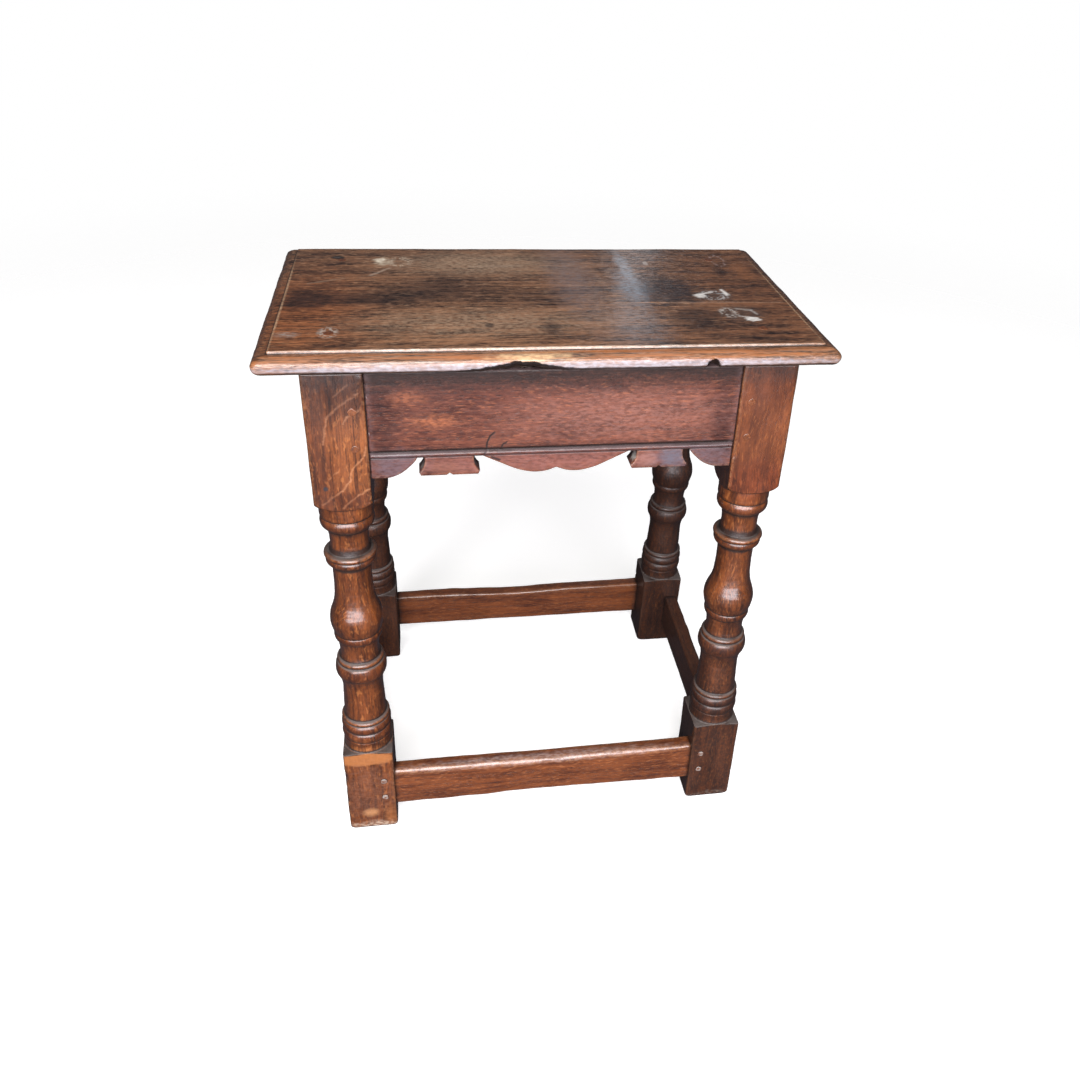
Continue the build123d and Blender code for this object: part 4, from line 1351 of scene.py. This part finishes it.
def board_oak(finish):
    """The board's oak, with its water marks, ink stains, burnt rings and faded patches, and painted sheen
    and highlights.
    """
    dark, fleck = (0.008, 0.003, 0.002), (0.5, 0.3, 0.18)
    look = OakLook("oak_board", finish.board_colour, dark, fleck, finish, mottle=0.3, gloss=0.32, keen=0.06)
    top = SEAT
    red = (0.55, 0.42, 0.34)
    soot = (0.22, 0.2, 0.21)
    tan = (0.42, 0.29, 0.19)
    chalk = (0.72, 0.7, 0.67)
    # Warmer towards both ends and the front, and faded in the middle
    look.shade((-215.0, -50.0, top), (50.0, 100.0, 20.0), (1.0, 0.62, 0.3), 0.8, 0.8, 1.4)
    look.shade((214.0, 0.0, top), (70.0, 150.0, 20.0), (0.72, 0.56, 0.42), 0.85, 0.8, 1.4)
    look.stain((-50.0, 82.0, top), (70.0, 30.0, 20.0), tan, 0.8, 0.8, 1.4, 0.7)
    look.stain((-60.0, -72.0, top), (90.0, 26.0, 20.0), tan, 0.5, 0.8, 1.4, 0.85)
    look.shade((110.0, -110.0, top), (90.0, 22.0, 20.0), red, 0.5, 0.8, 1.4)
    # Dark water marks
    look.shade((-212.0, -14.0, top), (21.0, 26.0, 20.0), soot, 0.85, 0.6, 1.6)
    look.shade((-160.0, -13.0, top), (60.0, 17.0, 20.0), soot, 0.8, 0.7, 1.7)
    look.shade((-96.0, 10.0, top), (40.0, 26.0, 20.0), soot, 0.75, 0.8, 1.5)
    look.shade((-20.0, -12.0, top), (60.0, 22.0, 20.0), soot, 0.4, 0.9, 1.5)
    look.stain((114.0, 4.0, top), (36.0, 32.0, 20.0), (0.008, 0.009, 0.013), 0.9, 0.5, 1.6, 0.35)
    look.shade((132.0, -68.0, top), (20.0, 24.0, 20.0), soot, 0.75, 0.7, 1.4)
    look.shade((155.0, 55.0, top), (17.0, 5.0, 8.0), soot, 0.7, 0.6, 1.4)
    look.shade((-1.0, -86.0, top), (7.0, 16.0, 20.0), soot, 0.6, 0.6, 1.0)
    look.shade((189.0, 55.0, top), (6.0, 12.0, 8.0), soot, 0.8, 0.6, 1.0)
    look.stain((-54.0, -79.0, top), (4.0, 5.0, 6.0), (0.02, 0.015, 0.013), 0.65)
    look.stain((-191.0, 99.0, top), (6.5, 4.5, 6.0), (0.012, 0.008, 0.006), 1.0, 0.3, 0.7)
    # Bloomed polish, painted pale as the sheen of the light on the board
    look.stain((33.0, 45.0, top), (19.0, 90.0, 20.0), (0.2, 0.165, 0.17), 0.55, 0.8, 0.8, 0.6)
    look.stain((93.0, 75.0, top), (6.0, 42.0, 20.0), (0.36, 0.39, 0.44), 0.75, 0.6, 1.2, 0.7)
    look.stain((89.0, 14.0, top), (12.0, 44.0, 20.0), (0.22, 0.25, 0.3), 0.7, 0.6, 1.2, 0.7)
    look.stain((78.0, -82.0, top), (22.0, 46.0, 20.0), (0.2, 0.185, 0.195), 0.5, 0.7, 1.0, 0.8)
    # Splashes and scrapes
    look.stain((-147.0, 87.0, top), (8.0, 12.0, 8.0), (0.5, 0.41, 0.3), 0.9, 0.5, 2.0, 0.7, 0.2)
    look.stain((-150.0, 91.0, top), (4.5, 7.0, 6.0), (0.72, 0.63, 0.5), 0.95, 0.4, 1.8, 0.4, 0.2)
    look.ring((-131.0, 86.0, top), (9.0, 11.0, 12.0), 0.7, (0.48, 0.38, 0.28), 0.75, 0.46)
    look.scratch((-158.0, 48.0, top), (-140.0, 68.0, top), 3.0, (0.45, 0.34, 0.26), 0.55)
    look.scratch((-214.0, 26.0, top), (-182.0, 40.0, top), 2.4, (0.32, 0.23, 0.16), 0.5)
    look.scratch((-62.0, 72.0, top), (-14.0, 74.0, top), 3.0, (0.36, 0.27, 0.2), 0.5)
    look.stain((117.0, 82.0, top), (2.5, 6.0, 6.0), (0.5, 0.44, 0.4), 0.7, 0.4, 0.8, 0.3)
    look.ring((-188.0, -90.0, top), (5.5, 7.5, 8.0), 0.9, (0.38, 0.34, 0.3), 0.7, 0.42)
    look.stain((-220.0, -94.0, top), (9.0, 5.0, 6.0), (0.3, 0.28, 0.26), 0.65, 0.6, 1.4, 0.8)
    look.ring((196.0, 90.0, top), (7.0, 16.0, 8.0), 0.3, (0.36, 0.26, 0.24), 0.7, 0.45)
    look.stain((214.0, 58.0, top), (9.0, 26.0, 20.0), (0.34, 0.13, 0.045), 0.55, 0.7, 1.2, 0.5)
    look.scratch((70.0, -24.0, top), (150.0, -26.0, top), 3.0, (0.02, 0.015, 0.015), 0.7)
    look.scratch((66.0, -29.0, top), (226.0, -31.0, top), 2.2, (0.4, 0.22, 0.13), 0.6)
    # Chalky paint in two broken marks
    look.stain((165.0, -12.0, top), (17.0, 13.0, 8.0), (0.03, 0.03, 0.03), 0.6, 0.4, 0.8, 0.3)
    look.stain((178.0, -58.0, top), (20.0, 20.0, 8.0), (0.035, 0.03, 0.028), 0.55, 0.4, 0.8, 0.3)
    look.ring((164.0, -11.0, top), (11.0, 9.0, 10.0), 0.7, (0.42, 0.42, 0.42), 0.75, 0.45)
    look.stain((150.0, -12.0, top), (5.5, 5.0, 6.0), chalk, 0.9, 0.3, 1.2, 0.25, 0.3)
    look.scratch((152.0, -8.0, top), (163.0, -3.0, top), 3.4, chalk, 0.8, 0.3)
    look.scratch((176.0, 3.0, top), (178.0, -10.0, top), 3.6, chalk, 0.9, 0.3)
    look.ring((166.0, -55.0, top), (6.0, 8.5, 12.0), 0.8, (0.42, 0.39, 0.36), 0.7, 0.42)
    look.scratch((176.0, -46.0, top), (189.0, -50.0, top), 3.0, (0.38, 0.35, 0.32), 0.55, 0.3)
    look.scratch((189.0, -50.0, top), (192.0, -59.0, top), 2.8, (0.36, 0.33, 0.31), 0.7, 0.3)
    look.scratch((174.0, -64.0, top), (183.0, -67.0, top), 3.0, (0.5, 0.47, 0.44), 0.75, 0.3)
    look.stain((184.5, -70.5, top), (6.5, 5.5, 6.0), chalk, 0.95, 0.3, 1.8, 0.3, 0.3)
    # The moulding in front: orange wood, painted highlights on the nose and the step's arris, and the torn
    # lip of the missing splinter
    front = -HALF_BOARD[1]
    amber = (0.24, 0.074, 0.014)
    look.stain((0.0, front + 6.0, SEAT - 6.0), (236.0, 9.0, 6.0), amber, 1.0, 0.3, 0.4, 0.1, streaked=True)
    # Painted highlight along the nose
    look.stain((0.0, front + 1.0, SEAT - 11.5), (246.0, 5.0, 3.4), (0.5, 0.49, 0.54), 0.75, 0.35, 0.4, 0.4)
    # Painted highlight along the step's arris, in front and at both ends
    look.stain((0.0, front + 13.0, SEAT), (236.0, 1.6, 2.2), (0.6, 0.5, 0.42), 0.6, 0.4, 0.4, 0.5)
    for end in (-HALF_BOARD[0] + 13.0, HALF_BOARD[0] - 13.0):
        look.stain((end, -20.0, SEAT), (1.9, 110.0, 2.2), (0.5, 0.33, 0.2), 0.8, 0.4, 0.6, 0.7)
    torn = (0.5, 0.33, 0.17)
    look.stain((-22.0, front + 2.0, UNDERSIDE + 14.0), (30.0, 6.0, 5.0), torn, 0.8, 0.5, 1.6, 0.5)
    return look.finished(patchy=0.6)


def leg_oak(finish):
    """The legs' oak: broad ray figure, painted shadow on the front head blocks' tops, and bare and rubbed
    places on the left front leg.
    """
    dark, fleck = (0.026, 0.007, 0.003), (0.42, 0.15, 0.04)
    look = OakLook("oak_legs", finish.leg_colour, dark, fleck, finish, flecks=0.4, ledges=0.8)
    bare = (0.38, 0.14, 0.038)
    foot_x = LEG_FOOT[0]
    front = -HALF_FLOOR + 4.0
    # Ray figure on the left front head block
    look.stain((-173.0, -137.0, 463.0), (20.0, 9.0, 24.0), (0.36, 0.12, 0.03), 0.35, 0.6, 1.0, streaked=True)
    look.stain((-172.0, -137.0, 428.0), (16.0, 9.0, 12.0), (0.36, 0.12, 0.03), 0.3, 0.6, 1.0, streaked=True)
    for ray in HEAD_RAYS:
        spots = [FRONT_FACE.at(x, up, 0.0) for x, up in ray]
        for start, end in zip(spots, spots[1:]):
            look.scratch(start, end, 1.6, (0.36, 0.15, 0.06), 0.6)
    # Painted shadow of the board on the tops of the front head blocks
    look.shade((foot_x, -136.0, 508.0), (34.0, 9.0, 28.0), (0.36, 0.37, 0.5), 0.85, 0.7, 0.8)
    look.shade((-foot_x, -136.0, 508.0), (34.0, 9.0, 26.0), (0.5, 0.42, 0.5), 0.8, 0.7, 0.8)
    # Redder at the foot of the right head block, darker down the left part and along the foot of the left
    # one, and a small dark spot
    look.shade((-foot_x, -141.0, 412.0), (34.0, 9.0, 20.0), (0.7, 0.42, 0.4), 0.7, 0.6, 0.8)
    look.shade((-200.0, -139.0, 440.0), (9.0, 9.0, 50.0), (0.45, 0.4, 0.42), 0.7, 0.7, 1.0)
    look.shade((-184.0, -141.0, 406.0), (26.0, 9.0, 8.0), (0.45, 0.38, 0.4), 0.6, 0.7, 1.0)
    look.stain((-197.0, -141.0, 419.0), (2.0, 9.0, 2.0), (0.02, 0.02, 0.025), 0.9, 0.3, 0.4)
    # Darker wax over the front legs' rings
    for height, reach in WAXED_RINGS:
        x, y, z = LEG_FOOT + height * FRONT_FACE.up
        for side in (x, -x):
            look.shade((side, y, z), (30.0, 30.0, reach), (0.52, 0.46, 0.56), 0.65, 0.2, 0.3)
    # Bare and rubbed places on the left front foot
    look.stain((foot_x - 3.0, front, 101.5), (27.0, 9.0, 8.5), bare, 0.85, 0.2, 0.4, 0.15, 0.1)
    look.stain((foot_x + 14.0, front, 103.0), (12.0, 9.0, 6.0), bare, 0.5, 0.3, 0.8, 0.4, 0.1)
    ledge = (foot_x + 1.0, front + 4.0, 111.0)
    look.stain(ledge, (16.0, 7.0, 5.0), bare, 0.8, 0.4, 0.9, 0.2, 0.1, streaked=True)
    look.stain((foot_x - 2.0, front, 24.0), (7.5, 6.0, 5.5), (0.55, 0.27, 0.11), 0.9, 0.5, 1.0, 0.3)
    look.stain((foot_x + 18.0, front, 16.0), (7.0, 6.0, 17.0), bare, 0.55, 0.6, 1.2, 0.4)
    look.stain((foot_x, front, 0.0), (28.0, 14.0, 10.0), (0.55, 0.43, 0.32), 0.85, 0.4, 1.2, 0.8, 0.1)
    look.stain((-foot_x, front, 0.0), (28.0, 14.0, 9.0), (0.4, 0.32, 0.25), 0.6, 0.4, 1.4, 1.0, 0.1)
    look.shade((foot_x - 14.0, front, 50.0), (12.0, 6.0, 30.0), (0.4, 0.34, 0.36), 0.5, 0.7, 1.4)
    look.stain((foot_x, front, 48.0), (28.0, 6.0, 46.0), (0.26, 0.12, 0.075), 0.3, 0.4, 1.4, 0.6)
    look.stain((-foot_x, -139.0, 462.0), (30.0, 9.0, 60.0), (0.112, 0.033, 0.014), 0.45, 0.5, 0.8)
    return look.finished(shaded=(0.12, 0.86))


def rail_oak(finish):
    """The frieze rails' oak, redder than the legs', with long pale flecks, painted shadow under the board
    and painted highlights in the notches.
    """
    dark, orange = (0.022, 0.006, 0.005), (0.36, 0.12, 0.05)
    look = OakLook(
        "oak_rails", finish.rail_colour, dark, orange, finish, flecks=0.35, mottle=0.3, ledges=0.6
    )
    face = -RAIL_FACE
    look.stain((-127.0, face, 501.0), (16.0, 9.0, 6.0), orange, 0.6, 0.8, 1.8, 0.7)
    look.stain((-104.0, face, 478.0), (18.0, 9.0, 5.0), orange, 0.6, 0.8, 1.8, 0.7)
    look.stain((60.0, face, 480.0), (90.0, 9.0, 22.0), (0.3, 0.14, 0.11), 0.4, 0.8, 1.4, 0.6)
    # Painted shadow of the board, deeper over the left part of the rail's top
    look.shade((-105.0, face, 512.0), (80.0, 9.0, 16.0), (0.5, 0.44, 0.52), 0.7, 0.8, 1.2)
    look.stain((-5.0, face, 436.0), (122.0, 9.0, 9.0), (0.22, 0.085, 0.066), 0.7, 0.5, 0.8, 0.5)
    look.shade((-146.0, face, 475.0), (12.0, 9.0, 60.0), (0.42, 0.42, 0.52), 0.7, 0.7, 0.8)
    look.shade((146.0, face, 475.0), (10.0, 9.0, 60.0), (0.42, 0.42, 0.52), 0.6, 0.7, 0.8)
    slate = (0.1, 0.068, 0.08)
    look.stain((123.0, face, 437.0), (34.0, 9.0, 14.0), slate, 0.7, 0.5, 1.0, 0.5)
    look.stain((-134.0, face, 437.0), (20.0, 9.0, 14.0), slate, 0.7, 0.5, 1.0, 0.5)
    look.stain((-97.0, face, 434.0), (13.0, 9.0, 5.5), (0.17, 0.07, 0.045), 0.5, 0.6, 1.2, 0.3)
    look.stain((81.0, face, 436.0), (9.0, 9.0, 7.0), (0.24, 0.12, 0.1), 0.6, 0.5, 1.0, 0.3)
    look.stain((104.0, face, 437.0), (12.0, 9.0, 8.0), (0.09, 0.09, 0.115), 0.75, 0.5, 1.2, 0.3)
    # Painted highlights on the walls inside the notches, and cracks in the right end
    wall_highlight = (0.55, 0.53, 0.48)
    for x, height, strength in NOTCH_WALL_HIGHLIGHTS:
        look.stain((x, face + 9.0, height), (6.0, 6.0, 5.0), wall_highlight, strength, 0.3, 1.0, 0.4)
    for start, middle, end in RAIL_CRACKS:
        for first, last in ((start, middle), (middle, end)):
            first, last = (FRONT_FACE.at(*spot, RAIL_SETBACK) for spot in (first, last))
            look.scratch(first, last, 1.3, (0.02, 0.012, 0.012), 0.8)
    return look.finished(specular=0.3, dust=(0.13, 0.088, 0.094))


def stretcher_oak(finish):
    """The stretchers' oak, rubbed by shoes, with a painted highlight along the front one's top arris."""
    dark, fleck = (0.04, 0.011, 0.006), (0.45, 0.17, 0.06)
    look = OakLook("oak_stretchers", finish.stretcher_colour, dark, fleck, finish, flecks=0.3)
    # Painted highlight along the front stretcher's worn top arris
    look.stain((-10.0, -HALF_FLOOR + 9.0, 77.0), (140.0, 7.0, 5.0), (0.46, 0.35, 0.32), 0.5, 0.5, 1.4, 0.7)
    return look.finished()


def peg_oak(finish):
    """The pegs' end grain, as dark as the legs, greyed with dust where it stands proud."""
    dark, fleck = (0.07, 0.019, 0.006), (0.3, 0.12, 0.05)
    look = OakLook("oak_pegs", finish.peg_colour, dark, fleck, finish, flecks=0.3)
    return look.finished(dust=(0.26, 0.24, 0.22))


def floor_paint(stage):
    """A plain pale floor, which fades out far from the stool and is not seen from below."""
    material = bpy.data.materials.new("pale_floor")
    material.use_nodes = True
    material.node_tree.nodes.clear()
    nodes = Nodes(material.node_tree)
    place = nodes.add("ShaderNodeTexCoord").outputs["Object"]
    cloud = nodes.noise(place, (0.5, 0.5, 0.5), 3.0)
    colour = nodes.mix(nodes.math("MULTIPLY", cloud, 0.06), (*stage.floor_colour, 1.0), (0.6, 0.6, 0.6, 1.0))
    path = nodes.add("ShaderNodeLightPath").outputs
    bounced = nodes.mix(path["Is Glossy Ray"], (0.3, 0.28, 0.3, 1.0), (0.05, 0.045, 0.055, 1.0))
    seen = nodes.math("SUBTRACT", 1.0, nodes.add("ShaderNodeNewGeometry").outputs["Backfacing"])
    faded = nodes.ramp(nodes.vector("LENGTH", place), FLOOR_FADE_END, FLOOR_FADE_START)
    shader = nodes.add("ShaderNodeBsdfPrincipled", {
        "Base Color": nodes.mix(path["Is Camera Ray"], bounced, colour),
        "Emission Color": nodes.mix(path["Is Camera Ray"], (0.0, 0.0, 0.0, 1.0), (0.5, 0.5, 0.5, 1.0)),
        "Emission Strength": 1.0,
        "Roughness": 0.8,
        "Specular IOR Level": 0.1,
        "Alpha": nodes.math("MULTIPLY", faded, seen),
    })
    nodes.add("ShaderNodeOutputMaterial", {"Surface": shader.outputs["BSDF"]})
    return material


def surround_light(stage):
    """A world that is white to look at, and gives an even light that gloss sees more dimly."""
    world = bpy.data.worlds.new("surround")
    world.use_nodes = True
    world.node_tree.nodes.clear()
    nodes = Nodes(world.node_tree)
    path = nodes.add("ShaderNodeLightPath").outputs
    lit = nodes.mix(path["Is Glossy Ray"], (1.0, 1.0, 1.0, 1.0), (0.35, 0.33, 0.38, 1.0))
    strength = nodes.add("ShaderNodeMix", {0: path["Is Camera Ray"], 2: stage.surround, 3: 1.0}).outputs[0]
    background = nodes.add("ShaderNodeBackground", {"Color": lit, "Strength": strength})
    nodes.add("ShaderNodeOutputWorld", {"Surface": background.outputs[0]})
    return world


# ---------------------------------------------------------------------------------------
# Stage

# The view: where the camera stands in mm, how it is turned in radians, and its frame in pixels
CAMERA_PLACE = (-106.288, -832.906, 849.432)
CAMERA_YAW = -0.189802
CAMERA_PITCH = -0.564664
CAMERA_ROLL = 0.061366
FRAME_PIXELS = 1080.0
FOCAL_PIXELS = 933.291
CENTRE_PIXELS = (585.352, 494.764)
SENSOR_MM = 36.0

# Where the floor starts to fade and where it has gone, in metres from the stool
FLOOR_FADE_START = 0.7
FLOOR_FADE_END = 2.6


# The lights: place and aim in metres, size and tint
LIGHTS = {
    "window": ((-0.25, -2.3, 0.95), (0.0, 0.0, 0.35), (3.0, 1.3), (0.97, 0.94, 1.0)),
    "skylight": ((-0.3, -1.5, 1.9), (0.0, 0.0, 0.4), (1.6, 1.0), (1.0, 0.97, 0.95)),
    "overhead": ((0.1, 0.2, 2.4), (0.0, 0.0, 0.5), (1.8, 1.8), (1.0, 0.98, 0.95)),
    "strip": ((0.565, 2.1, 1.28), (0.05, 0.0, 0.54), (0.08, 0.5), (0.85, 0.92, 1.0)),
}


def place_camera():
    """Places, turns and shifts the camera as the view above says."""
    yaw, pitch, roll = CAMERA_YAW, CAMERA_PITCH, CAMERA_ROLL
    ahead = Vector((-math.sin(yaw) * math.cos(pitch), math.cos(yaw) * math.cos(pitch), math.sin(pitch)))
    level = Vector((math.cos(yaw), math.sin(yaw), 0.0))
    rise = level.cross(ahead)
    right = level * math.cos(roll) + rise * math.sin(roll)
    up = rise * math.cos(roll) - level * math.sin(roll)
    lens = bpy.data.cameras.new("camera")
    lens.sensor_width = SENSOR_MM
    lens.lens = FOCAL_PIXELS / FRAME_PIXELS * SENSOR_MM
    lens.shift_x = (FRAME_PIXELS / 2 - CENTRE_PIXELS[0]) / FRAME_PIXELS
    lens.shift_y = (CENTRE_PIXELS[1] - FRAME_PIXELS / 2) / FRAME_PIXELS
    camera = bpy.data.objects.new("camera", lens)
    turned = Matrix((right, up, -ahead)).transposed().to_4x4()
    camera.matrix_world = Matrix.Translation(Vector(CAMERA_PLACE) * MM) @ turned
    bpy.context.scene.collection.objects.link(camera)
    bpy.context.scene.camera = camera


def area_light(name, place, aim, size, power, colour):
    """A rectangular light at a place in metres, turned to its aim."""
    data = bpy.data.lights.new(name, "AREA")
    data.shape = "RECTANGLE"
    data.size, data.size_y = size
    data.energy = power
    data.color = colour
    light = bpy.data.objects.new(name, data)
    light.location = place
    light.rotation_euler = (Vector(aim) - Vector(place)).to_track_quat("-Z", "Y").to_euler()
    light.visible_camera = False
    bpy.context.scene.collection.objects.link(light)


# ---------------------------------------------------------------------------------------
# Operators


class STOOL_OT_stage(Operator):
    """Lays the floor, and sets the studio light and the camera"""

    bl_idname = "stool.stage"
    bl_label = "Stage"

    def execute(self, context):
        stage = context.scene.stool_stage
        mesh = bpy.data.meshes.new("floor")
        shell = bmesh.new()
        bmesh.ops.create_circle(shell, cap_ends=True, segments=96, radius=FLOOR_FADE_END)
        shell.to_mesh(mesh)
        shell.free()
        floor = bpy.data.objects.new("floor", mesh)
        mesh.materials.append(floor_paint(stage))
        context.scene.collection.objects.link(floor)
        for name, (place, aim, size, tint) in LIGHTS.items():
            area_light(name, place, aim, size, getattr(stage, name), tint)
        context.scene.world = surround_light(stage)
        context.scene.view_settings.view_transform = "Standard"
        place_camera()
        return {"FINISHED"}


class STOOL_OT_board(Operator):
    """Makes the moulded board with its chip, notch and splits"""

    bl_idname = "stool.board"
    bl_label = "Board"

    def execute(self, context):
        make_board(context.scene.stool_shape, board_oak(context.scene.stool_finish))
        return {"FINISHED"}


class STOOL_OT_legs(Operator):
    """Makes the four turned legs"""

    bl_idname = "stool.legs"
    bl_label = "Legs"

    def execute(self, context):
        material = leg_oak(context.scene.stool_finish)
        for corner in CORNERS:
            make_leg(corner, context.scene.stool_shape, material)
        return {"FINISHED"}


class STOOL_OT_rails(Operator):
    """Makes the four fretted frieze rails"""

    bl_idname = "stool.rails"
    bl_label = "Frieze rails"

    def execute(self, context):
        material = rail_oak(context.scene.stool_finish)
        for side in RAILS:
            make_rail(side, context.scene.stool_shape, material)
        return {"FINISHED"}


class STOOL_OT_stretchers(Operator):
    """Makes the four worn stretchers"""

    bl_idname = "stool.stretchers"
    bl_label = "Stretchers"

    def execute(self, context):
        material = stretcher_oak(context.scene.stool_finish)
        for side in STRETCHERS:
            make_stretcher(side, context.scene.stool_shape, material)
        return {"FINISHED"}


class STOOL_OT_pegs(Operator):
    """Makes the pegs of the joints and of the board"""

    bl_idname = "stool.pegs"
    bl_label = "Pegs"

    def execute(self, context):
        material = peg_oak(context.scene.stool_finish)
        for corner, signs in CORNERS.items():
            pegs = corner_pegs(FRIEZE_PEG_HEIGHTS, FRIEZE_PEG_PROUD)
            make_pegs(f"riven_frieze_pegs_{corner}", f"frieze_pegs_{corner}", pegs, signs, material)
            pegs = corner_pegs(STRETCHER_PEG_HEIGHTS, STRETCHER_PEG_PROUD)
            make_pegs(f"riven_stretcher_pegs_{corner}", f"stretcher_pegs_{corner}", pegs, signs, material)
        size = (TOP_PEG_RADIUS, TOP_PEG_LENGTH - TOP_PEG_SUNK, TOP_PEG_PROUD)
        pegs = []
        for x in (-TOP_PEG[0], TOP_PEG[0]):
            for y in (-TOP_PEG[1], TOP_PEG[1]):
                pegs.append(((x, y, SEAT - TOP_PEG_SUNK), (0, 0, -1), (1, 0, 0), *size))
        make_pegs("riven_top_pegs", "top_pegs", pegs, (1, 1), material)
        return {"FINISHED"}


class STOOL_PT_sidebar(Panel):
    """Lists the stool's pieces and their settings"""

    bl_label = "Joint stool"
    bl_idname = "STOOL_PT_sidebar"
    bl_space_type = "VIEW_3D"
    bl_region_type = "UI"
    bl_category = "Joint stool"

    def draw(self, context):
        layout = self.layout
        for operator in OPERATORS:
            layout.operator(operator.bl_idname)
        for group in SETTINGS:
            settings = getattr(context.scene, group)
            for name in settings.bl_rna.properties.keys():
                if name not in ("rna_type", "name"):
                    layout.prop(settings, name)


OPERATORS = (
    STOOL_OT_stage,
    STOOL_OT_board,
    STOOL_OT_legs,
    STOOL_OT_rails,
    STOOL_OT_stretchers,
    STOOL_OT_pegs,
)
SETTINGS = {"stool_shape": StoolShape, "stool_finish": StoolFinish, "stool_stage": StoolStage}


def register():
    """Adds the panel, the operators and their settings to Blender."""
    for cls in (*SETTINGS.values(), *OPERATORS, STOOL_PT_sidebar):
        bpy.utils.register_class(cls)
    for name, group in SETTINGS.items():
        setattr(bpy.types.Scene, name, PointerProperty(type=group))


def unregister():
    """Takes them out again."""
    for name in SETTINGS:
        delattr(bpy.types.Scene, name)
    for cls in reversed((*SETTINGS.values(), *OPERATORS, STOOL_PT_sidebar)):
        bpy.utils.unregister_class(cls)


def main():
    """Builds the stool and its stage."""
    register()
    bpy.ops.stool.stage()
    bpy.ops.stool.board()
    bpy.ops.stool.legs()
    bpy.ops.stool.rails()
    bpy.ops.stool.stretchers()
    bpy.ops.stool.pegs()


if __name__ == "__main__":
    main()
